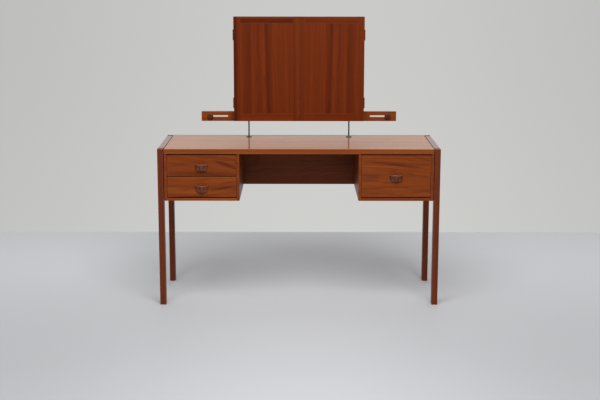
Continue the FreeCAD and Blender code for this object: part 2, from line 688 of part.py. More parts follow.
def build_stops():
    """Two sliding stops: a turned knob whose stem runs in the slot, and a nut behind the rail."""
    for word, sign in SIDES:
        body = new_body(f"{word}_stop_knob")
        head = new_sketch(body, f"{word}_knob_face", "XZ_Plane")
        draw_circle(head, "knob_diameter", "diameter")
        knob = add_pad(body, head, "knob_reach")
        ease_edges(body, knob, "knob_round", ("y1",))
        stem = new_sketch(body, f"{word}_stem_section", "XZ_Plane")
        draw_circle(stem, "stem_diameter", "diameter")
        add_pad(body, stem, "stop_rail_thick + 2 * slide_play + stop_nut_thick", False)
        place(body, (f"{sign} * knob_place", "case_back - slide_play", "stop_z"))
        keep(body, body.Name)
        nut = new_body(f"{word}_stop_nut")
        ring = new_sketch(nut, f"{word}_stop_nut_ring", "XZ_Plane")
        draw_circle(ring, "stop_nut_diameter", "outside")
        draw_circle(ring, "stem_diameter", "bore")
        pad = add_pad(nut, ring, "stop_nut_thick", False)
        ease_edges(nut, pad, "fine_arris", ("y0",))
        place(nut, (f"{sign} * knob_place", "stop_rail_back + slide_play", "stop_z"))
        keep(nut, nut.Name)


# ---------------------------------------------------------------- mirror doors and hinges

def build_door(word, sign):
    """One door: a flush frame and panel outside, and a mirror let into its back."""
    outer_x = mirrored_low(sign, "case_half - outer_stile", "outer_stile")
    inner_x = mirrored_low(sign, "meeting_gap / 2", "inner_stile")
    middle_x = mirrored_low(sign, "meeting_gap / 2 + inner_stile", "door_inner_width")
    blank = board(f"{word}_outer_stile_blank", ("outer_stile", "door_thick", "mirror_height"),
                  (outer_x, "door_front", "case_base"), "fine_arris")
    mortise_x = mirrored_low(sign, "case_half - leaf_plate - leaf_play", "leaf_plate + leaf_play")
    outer = cut(f"{word}_outer_stile", blank,
                leaf_mortises(f"{word}_door", mortise_x, "door_back - leaf_depth"))
    inner = board(f"{word}_inner_stile", ("inner_stile", "door_thick", "mirror_height"),
                  (inner_x, "door_front", "case_base"), "fine_arris")
    keep(group(f"{word}_door_stiles", [outer, inner]), f"{word}_door_stiles")
    rails = [board(f"{word}_door_{name}_rail", ("door_inner_width", "door_thick", height),
                   (middle_x, "door_front", z), "fine_arris", ("x0", "x1"))
             for name, height, z in (("bottom", "door_bottom_rail", "case_base"),
                                     ("top", "door_top_rail", "case_top - door_top_rail"))]
    keep(group(f"{word}_door_rails", rails), f"{word}_door_rails")
    panel = board(f"{word}_door_panel", ("door_inner_width", "door_panel_thick", "door_inner_height"),
                  (middle_x, "door_front", "door_inner_base"), "fine_arris", ("y1",))
    keep(panel, panel.Name)
    glass = board(f"{word}_door_mirror",
                  ("door_inner_width - 2 * glass_play", "door_glass_thick",
                   "door_inner_height - 2 * glass_play"),
                  (f"{middle_x} + glass_play", "door_front + door_panel_thick",
                   "door_inner_base + glass_play"), "fine_arris")
    keep(glass, glass.Name)


def hinge_leaf(name, sign, base, y, knuckles):
    """A leaf plate with a tab to each of its knuckles, which are numbered from the bottom."""
    plate_x = mirrored_low(sign, "case_half - leaf_plate", "leaf_plate")
    members = [block(f"{name}_plate", ("leaf_plate", "leaf_thick", "hinge_height"),
                     (plate_x, y, base))]
    tab_x = mirrored_low(sign, "case_half", "hinge_offset")
    for index in knuckles:
        height = "knuckle_height - 2 * knuckle_play"
        z = f"{base} + knuckle_height * {index} + knuckle_play"
        members.append(block(f"{name}_tab_{index}", ("hinge_offset", "leaf_thick", height),
                             (tab_x, y, z)))
        members.append(rod(f"{name}_knuckle_{index}", "knuckle_diameter", height,
                           (f"{sign} * hinge_x", "hinge_y", z)))
    return members


def build_hinges():
    """Butt hinges: the leaf on the case holds the pin, and the door's middle knuckle turns on it."""
    case_leaves = []
    for word, sign in SIDES:
        door_leaves = []
        for level, base in (("upper", "upper_hinge_base"), ("lower", "lower_hinge_base")):
            name = f"{word}_{level}"
            axis = (f"{sign} * hinge_x", "hinge_y", f"{base} + knuckle_play")
            members = hinge_leaf(f"{name}_case_leaf", sign, base, "hinge_y + leaf_play", (0, 2))
            members.append(rod(f"{name}_hinge_pin", "hinge_pin_diameter",
                               "hinge_height - 2 * knuckle_play", axis))
            case_leaves.append(fuse(f"{name}_case_leaf", members))
            leaf = fuse(f"{name}_door_leaf_blank",
                        hinge_leaf(f"{name}_door_leaf", sign, base,
                                   "hinge_y - leaf_play - leaf_thick", (1,)))
            bore = rod(f"{name}_hinge_bore", "hinge_pin_diameter + 2 * hinge_pin_play",
                       "hinge_height - 2 * knuckle_play", axis)
            door_leaves.append(cut(f"{name}_door_leaf", leaf, [bore]))
        keep(group(f"{word}_door_hinge_leaves", door_leaves), f"{word}_door_hinge_leaves")
    keep(group("case_hinge_leaves", case_leaves), "case_hinge_leaves")


# ---------------------------------------------------------------- make and write

def check_document():
    """Stop with a message if any object failed or any sub-part has no sound shape."""
    failed = [thing.Name for thing in doc.Objects if {"Invalid", "Error"} & set(thing.State)]
    if failed:
        raise RuntimeError(f"failed objects: {failed}")
    for piece in pieces:
        shape = piece.Shape
        if shape.isNull() or not shape.isValid() or shape.Volume <= 0:
            raise RuntimeError(f"{piece.Label} has no sound shape")


def write_pieces():
    """Write each sub-part to a file named for it."""
    os.makedirs("parts", exist_ok=True)
    for piece in pieces:
        piece.Shape.exportStep(f"parts/{piece.Label}.step")
        box = piece.Shape.BoundBox
        print(f"{piece.Label:28s} solids {len(piece.Shape.Solids)}  volume {piece.Shape.Volume:12.1f}"
              f"  x {box.XMin:8.1f} {box.XMax:8.1f}  y {box.YMin:8.1f} {box.YMax:8.1f}"
              f"  z {box.ZMin:7.1f} {box.ZMax:7.1f}")


def main():
    """Build the whole table."""
    fill_sheet()
    build_top()
    build_end_frames()
    build_carcass()
    build_drawers()
    build_posts()
    screws = build_case()
    build_stop_rail(screws)
    build_stops()
    for word, sign in SIDES:
        build_door(word, sign)
    build_hinges()
    doc.recompute()
    check_document()
    write_pieces()
    print(len(pieces), "sub-parts")


main()
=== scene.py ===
"""Vanity table with a doored mirror: finishes, small fittings, floor, light and camera."""

import json
import logging
import math
from dataclasses import dataclass, replace
from enum import Enum
from typing import Iterable, Sequence, Union

import bmesh
import bpy
from mathutils import Matrix, Vector

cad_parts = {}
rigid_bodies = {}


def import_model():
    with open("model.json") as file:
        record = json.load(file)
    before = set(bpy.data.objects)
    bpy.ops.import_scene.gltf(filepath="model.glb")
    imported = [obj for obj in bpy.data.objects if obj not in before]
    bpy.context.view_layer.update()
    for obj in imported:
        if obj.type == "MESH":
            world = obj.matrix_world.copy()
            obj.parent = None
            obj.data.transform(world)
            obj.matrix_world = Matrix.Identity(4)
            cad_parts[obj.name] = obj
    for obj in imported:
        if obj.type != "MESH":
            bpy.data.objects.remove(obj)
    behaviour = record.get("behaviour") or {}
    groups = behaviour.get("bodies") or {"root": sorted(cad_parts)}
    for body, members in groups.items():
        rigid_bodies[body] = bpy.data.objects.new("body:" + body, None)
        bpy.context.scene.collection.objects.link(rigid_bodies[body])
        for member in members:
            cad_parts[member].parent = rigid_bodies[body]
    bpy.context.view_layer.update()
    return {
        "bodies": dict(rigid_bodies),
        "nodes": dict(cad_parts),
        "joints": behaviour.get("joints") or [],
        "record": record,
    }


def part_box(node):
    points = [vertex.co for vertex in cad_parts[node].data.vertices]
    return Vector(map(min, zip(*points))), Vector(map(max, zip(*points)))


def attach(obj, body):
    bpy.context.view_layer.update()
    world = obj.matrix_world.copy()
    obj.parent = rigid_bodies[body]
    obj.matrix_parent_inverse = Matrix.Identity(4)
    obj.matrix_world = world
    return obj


Colour = tuple[float, float, float]
Point = tuple[float, float, float]
Number = Union["Signal", float]

LOG = logging.getLogger("vanity")
OPAQUE = 1.0
FORWARD = Vector((0.0, -1.0, 0.0))
BACKWARD = Vector((0.0, 1.0, 0.0))

# A Mix node keeps a set of sockets for each kind of data; these are the ones for colours.
MIX_SHARE, MIX_FIRST, MIX_SECOND, MIX_RESULT = 0, 6, 7, 2


# --------------------------------------------------------------------------- shader building


@dataclass(frozen=True, eq=False)
class Signal:
    """One number that a shader socket carries, with Python's arithmetic.

    Args:
        net: the network that the socket belongs to.
        socket: the output socket.
    """

    net: "Network"
    socket: bpy.types.NodeSocket

    def __add__(self, other: Number) -> "Signal":
        """Sum."""
        return self.net.math("ADD", self, other)

    __radd__ = __add__

    def __sub__(self, other: Number) -> "Signal":
        """Difference."""
        return self.net.math("SUBTRACT", self, other)

    def __rsub__(self, other: Number) -> "Signal":
        """Difference from a number."""
        return self.net.math("SUBTRACT", other, self)

    def __mul__(self, other: Number) -> "Signal":
        """Product."""
        return self.net.math("MULTIPLY", self, other)

    __rmul__ = __mul__

    def __pow__(self, other: Number) -> "Signal":
        """Power."""
        return self.net.math("POWER", self, other)

    def __rpow__(self, other: Number) -> "Signal":
        """Power of a number."""
        return self.net.math("POWER", other, self)

    def __abs__(self) -> "Signal":
        """Size without sign."""
        return self.net.math("ABSOLUTE", self)

    def least(self, other: Number) -> "Signal":
        """The smaller of two numbers."""
        return self.net.math("MINIMUM", self, other)

    def most(self, other: Number) -> "Signal":
        """The larger of two numbers."""
        return self.net.math("MAXIMUM", self, other)

    def part(self) -> "Signal":
        """What is left after the whole number."""
        return self.net.math("FRACT", self)

    def swing(self, amount: float) -> "Signal":
        """1 give or take half of the amount, as a pattern goes from 0 to 1."""
        return self * amount + (1.0 - amount / 2.0)

    def ramp(self, low: float, high: float) -> "Signal":
        """Rises smoothly from 0 at low to 1 at high; falls where low is above high.

        Args:
            low: value that gives 0.
            high: value that gives 1.
        Returns:
            The smooth step.
        """
        settings = {"interpolation_type": "SMOOTHSTEP"}
        sockets = {"Value": self, "From Min": low, "From Max": high}
        return self.net.signal("ShaderNodeMapRange", settings, sockets)

    def bell(self, centre: Number, width: float) -> "Signal":
        """1 at the centre, falling smoothly to 0 at that width from it."""
        return abs(self - centre).ramp(width, 0.0)


class Network:
    """The node tree of a material or of the world, built from Python."""

    def __init__(self, owner: bpy.types.ID) -> None:
        """Empties the owner's tree.

        Args:
            owner: the material or world.
        """
        owner.use_nodes = True
        self.owner = owner
        self.tree = owner.node_tree
        self.tree.nodes.clear()

    @classmethod
    def material(cls, name: str) -> "Network":
        """Starts a new material."""
        return cls(bpy.data.materials.new(name))

    def node(
        self, kind: str, settings: dict | None = None, sockets: dict | None = None
    ) -> bpy.types.Node:
        """Adds any node.

        Args:
            kind: node type.
            settings: properties, set before the sockets.
            sockets: input sockets by name or index, with values, signals or output sockets.
        Returns:
            The node.
        """
        made = self.tree.nodes.new(kind)
        for name, value in (settings or {}).items():
            setattr(made, name, value)
        for name, value in (sockets or {}).items():
            target = made.inputs[name]
            if isinstance(value, Signal):
                self.tree.links.new(value.socket, target)
            elif isinstance(value, bpy.types.NodeSocket):
                self.tree.links.new(value, target)
            else:
                target.default_value = value
        return made

    def signal(self, kind: str, settings: dict | None = None, sockets: dict | None = None) -> Signal:
        """Adds a node and wraps its first output that is a number.

        Args:
            kind: Blender's name of the node's type.
            settings: what is set on the node first.
            sockets: values or links, by a socket's name or number.
        Returns:
            The output.
        """
        made = self.node(kind, settings, sockets)
        outputs = [s for s in made.outputs if s.enabled and s.type == "VALUE"]
        return Signal(self, outputs[0])

    def math(self, operation: str, *values: Number) -> Signal:
        """Adds one Math node.

        Args:
            operation: what the node does.
            values: numbers or signals.
        Returns:
            The result.
        """
        return self.signal("ShaderNodeMath", {"operation": operation}, dict(enumerate(values)))

    def coordinates(self, output: str) -> tuple[Signal, Signal, Signal]:
        """Splits one of the Texture Coordinate node's outputs.

        Args:
            output: the output's name.
        Returns:
            Its X, Y and Z.
        """
        place = self.node("ShaderNodeTexCoord").outputs[output]
        split = self.node("ShaderNodeSeparateXYZ", None, {0: place})
        return tuple(Signal(self, s) for s in split.outputs)

    def axes(self) -> tuple[Signal, Signal, Signal]:
        """The piece's own X, Y and Z in metres."""
        return self.coordinates("Object")

    def vector(self, *parts: Number) -> bpy.types.NodeSocket:
        """Joins three numbers."""
        return self.node("ShaderNodeCombineXYZ", None, dict(enumerate(parts))).outputs[0]

    def blend(
        self, share: Number, first: object, second: object, kind: str = "MIX"
    ) -> bpy.types.NodeSocket:
        """Mixes two colours.

        Args:
            share: 0 gives the first, 1 the second.
            first: colour or colour socket.
            second: colour or colour socket.
            kind: the way that they mix.
        Returns:
            The mixed colour.
        """
        settings = {"data_type": "RGBA", "blend_type": kind, "clamp_factor": True}
        sockets = {MIX_SHARE: share, MIX_FIRST: _solid(first), MIX_SECOND: _solid(second)}
        return self.node("ShaderNodeMix", settings, sockets).outputs[MIX_RESULT]

    def shaded(self, colour: object, level: Signal) -> bpy.types.NodeSocket:
        """A colour made brighter or darker by a signal.

        Args:
            colour: colour or colour socket.
            level: 1 leaves it as it is.
        Returns:
            The shaded colour.
        """
        grey = self.node("ShaderNodeCombineColor", None, dict.fromkeys(range(3), level)).outputs[0]
        return self.blend(1.0, colour, grey, "MULTIPLY")

    def bump(self, height: Signal, strength: float, distance: float) -> bpy.types.NodeSocket:
        """A normal that follows small heights."""
        sockets = {"Strength": strength, "Distance": distance, "Height": height}
        return self.node("ShaderNodeBump", None, sockets).outputs[0]

    def surface(self, sockets: dict) -> bpy.types.Material:
        """Ends the network in a Principled surface.

        Args:
            sockets: the surface's inputs.
        Returns:
            The material.
        """
        shader = self.node("ShaderNodeBsdfPrincipled", None, sockets)
        self.node("ShaderNodeOutputMaterial", None, {"Surface": shader.outputs[0]})
        return self.owner


def _solid(colour: object) -> object:
    """A colour with its opacity, or the socket as it is."""
    return (*colour, OPAQUE) if isinstance(colour, tuple) else colour


@dataclass(frozen=True)
class Waves:
    """A smooth random pattern from 0 to 1, stretched by its own amount each way.

    Args:
        density: waves for each metre along, across and through a piece.
        detail: number of finer layers.
        rough: strength of the finer layers.
        band: values that give 0 and 1, or None for the plain pattern.
    """

    density: tuple[float, float, float]
    detail: float = 2.0
    rough: float = 0.5
    band: tuple[float, float] | None = None

    def over(self, parts: Sequence[Signal], shifts: Sequence[float] = (0.0, 0.0, 0.0)) -> Signal:
        """Looks the pattern up over a piece.

        Args:
            parts: the place along, across and through.
            shifts: where the pattern starts, in waves.
        Returns:
            The pattern.
        """
        net = parts[0].net
        scaled = (part * waves for part, waves in zip(parts, self.density))
        place = net.vector(*(part + shift for part, shift in zip(scaled, shifts)))
        sockets = {"Vector": place, "Scale": 1.0, "Detail": self.detail, "Roughness": self.rough}
        pattern = net.signal("ShaderNodeTexNoise", {"noise_dimensions": "3D"}, sockets)
        return pattern.ramp(*self.band) if self.band else pattern


def even(
    density: float, detail: float = 2.0, rough: float = 0.5, band: tuple[float, float] | None = None
) -> Waves:
    """Waves that are the same every way.

    Args:
        density: waves for each metre.
        detail: number of finer layers.
        rough: strength of the finer layers.
        band: values that give 0 and 1, or None for the plain pattern.
    Returns:
        The pattern.
    """
    return Waves((density, density, density), detail, rough, band)


# --------------------------------------------------------------------------- finishes


class Grain(Enum):
    """How a board lies: which axes run along its grain, across its face and through its thickness."""

    TOP = (0, 1, 2)
    FRONT = (0, 2, 1)
    SIDE = (1, 2, 0)
    UPRIGHT = (2, 0, 1)
    UPRIGHT_SIDE = (2, 1, 0)


@dataclass(frozen=True)
class Ribbon:
    """A band along the grain.

    Args:
        place: its middle across the grain.
        half: half of its width.
        strength: how strong it is.
    """

    place: float
    half: float
    strength: float

    def mask(self, across: Signal) -> Signal:
        """Its strength at its middle, falling to 0 at its edges."""
        return across.bell(self.place, self.half) * self.strength


@dataclass(frozen=True)
class Flame:
    """A short dark feather in the veneer.

    Args:
        along: its middle along the grain.
        across: its middle across the grain.
        length: half of its length.
        width: half of its width.
        tilt: how far it climbs across for each metre along.
        strength: how dark it is.
    """

    along: float
    across: float
    length: float
    width: float
    tilt: float
    strength: float

    def mask(self, along: Signal, across: Signal) -> Signal:
        """Shows where the ribbon lies.

        Args:
            along: the place along the grain.
            across: the place across it.
        Returns:
            Its strength at its middle, falling to 0 at its ends and edges.
        """
        offset = along - self.along
        middle = offset * self.tilt + self.across
        return across.bell(middle, self.width) * abs(offset).ramp(self.length, 0.0) * self.strength


@dataclass(frozen=True)
class Board:
    """One piece of wood as it was cut.

    Args:
        grain: how it lies.
        seed: which part of the log.
        heart: distance across from the middle of its arches, in metres from the origin.
        pith: depth of the log's middle behind the face; small for arches, large for stripes.
        slope: how far the grain runs off, as a share of its length.
        matched: mirrored about the middle of the object.
        ribbons: dark bands along the grain: real streaks and, on the doors, bands of painted shade.
        tone: brightness of this board against the rest.
        flames: short dark feathers.
        wear_and_painted_highlight: a pale band of painted highlight, such as along a pull's lip where the
            light catches it.
    """

    grain: Grain
    seed: float
    heart: float = 0.0
    pith: float = 0.25
    slope: float = 0.0
    matched: bool = False
    ribbons: tuple[Ribbon, ...] = ()
    tone: float = 1.0
    flames: tuple[Flame, ...] = ()
    wear_and_painted_highlight: Ribbon | None = None


@dataclass(frozen=True)
class Growth:
    """How teak and the drawers' wood grow, the same in every finish.

    Args:
        step: how far apart in the log's patterns two boards start, for each step of their seeds.
        wander: slow waves that bend the grain sideways.
        stray: how far they bend it, in metres.
        flame_stray: how far they bend the dark feathers.
        streak: broad pale and dark bands.
        drift: slow change in the spacing of the late-wood lines.
        drift_lines: how many lines it moves them by.
        depth: how much of the depth counts towards the log's radius.
        taper: how much the log narrows for each metre.
        late_power: how sharply a late-wood line darkens towards its end.
        late_end: where in its ring the line ends.
        patch: uneven patches of colour.
        fibre: fine fibres.
        pores: short dark pores.
    """

    step: float = 1.37
    wander: Waves = Waves((1.6, 5.0, 5.0))
    stray: float = 0.028
    flame_stray: float = 0.03
    streak: Waves = Waves((0.9, 34.0, 18.0), 5.0, 0.6, (0.3, 0.72))
    drift: Waves = Waves((2.4, 14.0, 9.0), 3.0)
    drift_lines: float = 5.0
    depth: float = 0.6
    taper: float = 0.012
    late_power: float = 3.0
    late_end: float = 0.93
    patch: Waves = Waves((5.0, 22.0, 10.0))
    fibre: Waves = Waves((26.0, 1100.0, 1100.0), 3.0, 0.6)
    pores: Waves = Waves((120.0, 2300.0, 2300.0), 1.0, band=(0.62, 0.72))


@dataclass(frozen=True)
class Handling:
    """How use and finishing change the surface of every board, and how bright its painted highlights are.

    Args:
        edge: distances from an edge at which its wear ends and is full.
        edge_wear: wear on the edges.
        paler: how many times brighter worn edges and painted highlights are.
        pale_lift: brightness added to worn edges and painted highlights.
        fibre_shade: how much the fibres change the colour.
        patch_shade: how much the patches change the colour.
        ribbon_break: how much the patches break up the ribbons.
        flame_break: how much the patches break up the feathers.
        polish: how much smoother than its finish the plain wood is.
        fibre_rough: roughness that the fibres add.
        worn_rough: roughness that wear adds.
        pore_rough: roughness that the pores add.
        coat_loss: share of the lacquer that wear takes.
        fibre_rise: height of the fibres against the pores' depth.
        late_fall: depth of the late-wood lines against the pores' depth.
        bump: strength of the relief.
    """

    edge: tuple[float, float] = (0.0022, 0.0004)
    edge_wear: float = 0.9
    paler: float = 1.5
    pale_lift: float = 0.02
    fibre_shade: float = 0.2
    patch_shade: float = 0.16
    ribbon_break: float = 0.8
    flame_break: float = 0.6
    polish: float = 0.08
    fibre_rough: float = 0.12
    worn_rough: float = 0.1
    pore_rough: float = 0.08
    coat_loss: float = 0.35
    fibre_rise: float = 0.5
    late_fall: float = 0.3
    bump: float = 0.5


GROWTH = Growth()
HANDLING = Handling()


@dataclass(frozen=True)
class Wood:
    """A wood finish, grown through the board so that faces and end grain agree.

    Args:
        name: finish name.
        light: colour of the pale wood.
        dark: colour of the dark wood.
        vein: colour of the late-wood lines.
        streak: strength of the broad bands.
        rings: late-wood lines for each metre of the log's radius.
        veining: strength of the late-wood lines.
        roughness: of the wood.
        coat: share of lacquer on it.
        coat_roughness: of the lacquer.
        wear_and_highlight: how much paler worn edges and painted highlights are.
        pore: depth of colour in the pores.
        relief: height of the grain, in metres.
        specular: strength of the bare wood's reflection.
    """

    name: str
    light: Colour
    dark: Colour
    vein: Colour
    streak: float = 0.6
    rings: float = 260.0
    veining: float = 0.35
    roughness: float = 0.42
    coat: float = 0.3
    coat_roughness: float = 0.2
    wear_and_highlight: float = 0.35
    pore: float = 0.25
    relief: float = 0.00012
    specular: float = 0.5

    def make(self, board: Board, corners: tuple[Vector, Vector]) -> bpy.types.Material:
        """Makes the material for one board.

        Args:
            board: how it was cut.
            corners: the piece's lowest and highest corner.
        Returns:
            The material.
        """
        net = Network.material(f"{self.name}_{board.seed:g}")
        axes = net.axes()
        along, across, depth = (axes[i] for i in board.grain.value)
        if board.matched:
            across = abs(across)
        shift = board.seed * GROWTH.step
        wander = GROWTH.wander.over((along, across, depth), (shift, 0.0, shift)) - 0.5
        bent = across + wander * GROWTH.stray + along * board.slope
        grown = (along, bent, depth)
        streak = GROWTH.streak.over(grown, (shift, 0.0, shift))
        late = self._late_wood(board, grown, shift)
        patch = GROWTH.patch.over(grown, (0.0, shift, 0.0))
        fibre = GROWTH.fibre.over((along, across, depth), (shift, 0.0, 0.0))
        pores = GROWTH.pores.over((along, across, depth), (0.0, shift, 0.0))

        band = streak * self.streak
        for ribbon in board.ribbons:
            band = band + ribbon.mask(bent) * patch.swing(HANDLING.ribbon_break)
        for flame in board.flames:
            mask = flame.mask(along, across + wander * GROWTH.flame_stray)
            band = band + mask * patch.swing(HANDLING.flame_break)
        colour = net.blend(band.least(1.0), self.light, self.dark)
        colour = net.blend(late * self.veining * patch.swing(1.0), colour, self.vein)
        shade = fibre.swing(HANDLING.fibre_shade) * patch.swing(HANDLING.patch_shade)
        colour = net.shaded(colour, shade * (1.0 - pores * self.pore) * board.tone)

        # Paler where edges are worn and, on the pulls, where a painted highlight stands for light on the
        # lip.
        wear_and_painted_highlight = self._edges(axes, corners) * patch.swing(1.0) * HANDLING.edge_wear
        if board.wear_and_painted_highlight:
            wear_and_painted_highlight = wear_and_painted_highlight + board.wear_and_painted_highlight.mask(across)
        pale = tuple(min(1.0, c * HANDLING.paler + HANDLING.pale_lift) for c in self.light)
        added = HANDLING.fibre_rough * fibre + HANDLING.worn_rough * wear_and_painted_highlight + HANDLING.pore_rough * pores
        kept = 1.0 - HANDLING.coat_loss * wear_and_painted_highlight.least(1.0)
        height = fibre * HANDLING.fibre_rise - pores - late * HANDLING.late_fall
        sockets = {
            "Base Color": net.blend(wear_and_painted_highlight * self.wear_and_highlight, colour, pale),
            "Roughness": (added + (self.roughness - HANDLING.polish)).least(1.0),
            "Specular IOR Level": self.specular,
            "Coat Roughness": self.coat_roughness,
            "Coat Weight": kept * self.coat if self.coat else 0.0,
            "Normal": net.bump(height, HANDLING.bump, self.relief),
        }
        return net.surface(sockets)

    def _late_wood(self, board: Board, grown: tuple[Signal, Signal, Signal], shift: float) -> Signal:
        """The dark late-wood lines, round the middle of the log.

        Args:
            board: how the board was cut.
            grown: the place along, across and through the grain.
            shift: which part of the log.
        Returns:
            1 on a line, 0 between lines.
        """
        along, bent, depth = grown
        squares = (bent - board.heart) ** 2.0 + (depth * GROWTH.depth + board.pith) ** 2.0
        radius = along.net.math("SQRT", squares) + along * GROWTH.taper
        drift = GROWTH.drift.over(grown, (shift, 0.0, 0.0)) * GROWTH.drift_lines
        phase = (radius * self.rings + drift + shift).part()
        return phase ** GROWTH.late_power * phase.ramp(1.0, GROWTH.late_end)

    @staticmethod
    def _edges(axes: Sequence[Signal], corners: tuple[Vector, Vector]) -> Signal:
        """1 along the piece's outer edges, 0 away from them.

        Args:
            axes: the piece's own X, Y and Z.
            corners: the piece's lowest and highest corner.
        Returns:
            The mask, which follows the middle one of the distances to the piece's sides.
        """
        low, high = corners
        first, second, third = ((a - lo).least(hi - a).most(0.0) for a, lo, hi in zip(axes, low, high))
        middle = first.least(second).most(first.most(second).least(third))
        return middle.ramp(*HANDLING.edge)


@dataclass(frozen=True)
class Metal:
    """A metal finish with fine scratches and stains.

    Args:
        name: finish name.
        clean: colour where it is clean.
        stained: colour where it has dulled.
        roughness: of the clean metal.
        brushed: axis that the scratches run along, or None for all ways.
        dulling: how far the dull clouds go.
        spotting: how far the small spots go.
        scratch: scratches for each metre across them.
        scratch_along: scratches for each metre along them.
        scratch_rough: roughness that the scratches change.
        dull_rough: roughness that dulling adds.
        spot_pit: depth of the spots against the scratches.
        bump: strength of the relief.
        relief: height of the scratches, in metres.
    """

    name: str
    clean: Colour
    stained: Colour
    roughness: float = 0.3
    brushed: int | None = None
    dulling: float = 0.5
    spotting: float = 0.5
    scratch: float = 3800.0
    scratch_along: float = 160.0
    scratch_rough: float = 0.16
    dull_rough: float = 0.22
    spot_pit: float = 0.6
    bump: float = 0.25
    relief: float = 0.00004

    def make(self) -> bpy.types.Material:
        """Makes the material.

        Returns:
            The finish, ready for a piece.
        """
        net = Network.material(self.name)
        axes = net.axes()
        scratches = [self.scratch] * 3
        if self.brushed is not None:
            scratches[self.brushed] = self.scratch_along
        lines = Waves(tuple(scratches), 3.0, 0.7).over(axes)
        cloud = even(65.0, 4.0, 0.6, (0.35, 0.75)).over(axes)
        spots = even(900.0, band=(0.66, 0.74)).over(axes)
        dull = (cloud * self.dulling + spots * self.spotting).least(1.0)
        sockets = {
            "Base Color": net.blend(dull, self.clean, self.stained),
            "Metallic": 1.0,
            "Roughness": (lines - 0.5) * self.scratch_rough + dull * self.dull_rough + self.roughness,
            "Normal": net.bump(lines - spots * self.spot_pit, self.bump, self.relief),
        }
        return net.surface(sockets)


@dataclass(frozen=True)
class SilveredGlass:
    """Mirror glass with faint smears, dust and darkening at its rim.

    Args:
        name: finish name.
        silver: colour of the mirror.
        rim: colour of the aged rim.
        rim_width: how far the ageing reaches in.
        rim_wander: how far its line wanders.
        ageing: how far it goes.
        polish: roughness of the clean glass.
        smear_rough: roughness that smears add.
        dust_rough: roughness that dust adds.
        age_rough: roughness that ageing adds.
        smear_rise: height of the smears against the dust.
        bump: strength of the relief.
        relief: height of the dust, in metres.
    """

    name: str = "silvered_glass"
    silver: Colour = (0.86, 0.885, 0.88)
    rim: Colour = (0.2, 0.19, 0.17)
    rim_width: float = 0.0025
    rim_wander: float = 0.004
    ageing: float = 0.8
    polish: float = 0.015
    smear_rough: float = 0.05
    dust_rough: float = 0.2
    age_rough: float = 0.3
    smear_rise: float = 0.3
    bump: float = 0.02
    relief: float = 0.00001

    def make(self, corners: tuple[Vector, Vector]) -> bpy.types.Material:
        """Makes the material.

        Args:
            corners: the glass's lowest and highest corner.
        Returns:
            The material.
        """
        net = Network.material(self.name)
        axes = net.axes()
        low, high = corners
        cross, _, up = axes
        border = (cross - low.x).least(high.x - cross).least((up - low.z).least(high.z - up))
        smear = Waves((9.0, 1.0, 14.0), 4.0, 0.6, (0.45, 0.8)).over(axes)
        dust = even(1400.0, 1.0, band=(0.7, 0.78)).over(axes)
        aged = (border - even(120.0, 3.0).over(axes) * self.rim_wander).ramp(self.rim_width, 0.0)
        dirt = self.smear_rough * smear + self.dust_rough * dust + self.age_rough * aged
        sockets = {
            "Base Color": net.blend(aged * self.ageing, self.silver, self.rim),
            "Metallic": 1.0,
            "Roughness": dirt + self.polish,
            "Normal": net.bump(smear * self.smear_rise + dust, self.bump, self.relief),
        }
        return net.surface(sockets)


@dataclass(frozen=True)
class Felt:
    """Dark pressed felt; as the strip between the doors its dark colour is painted shade in their gap.

    Args:
        name: finish name.
        dark: colour in the pile.
        pale: colour of the lint.
        roughness: of the pressed pile.
        fibre_rough: roughness that the fibres add.
        specular: strength of its reflection.
        bump: strength of the relief.
        relief: height of the fibres, in metres.
    """

    name: str = "felt"
    dark: Colour = (0.02, 0.012, 0.008)
    pale: Colour = (0.06, 0.04, 0.03)
    roughness: float = 0.85
    fibre_rough: float = 0.15
    specular: float = 0.1
    bump: float = 0.5
    relief: float = 0.0002

    def make(self) -> bpy.types.Material:
        """Makes the material.

        Returns:
            The finish, ready for a piece.
        """
        net = Network.material(self.name)
        axes = net.axes()
        fibre = even(2600.0, 3.0, 0.7).over(axes)
        lint = even(300.0, band=(0.55, 0.75)).over(axes)
        sockets = {
            "Base Color": net.blend(lint * fibre, self.dark, self.pale),
            "Roughness": fibre * self.fibre_rough + self.roughness,
            "Specular IOR Level": self.specular,
            "Normal": net.bump(fibre, self.bump, self.relief),
        }
        return net.surface(sockets)


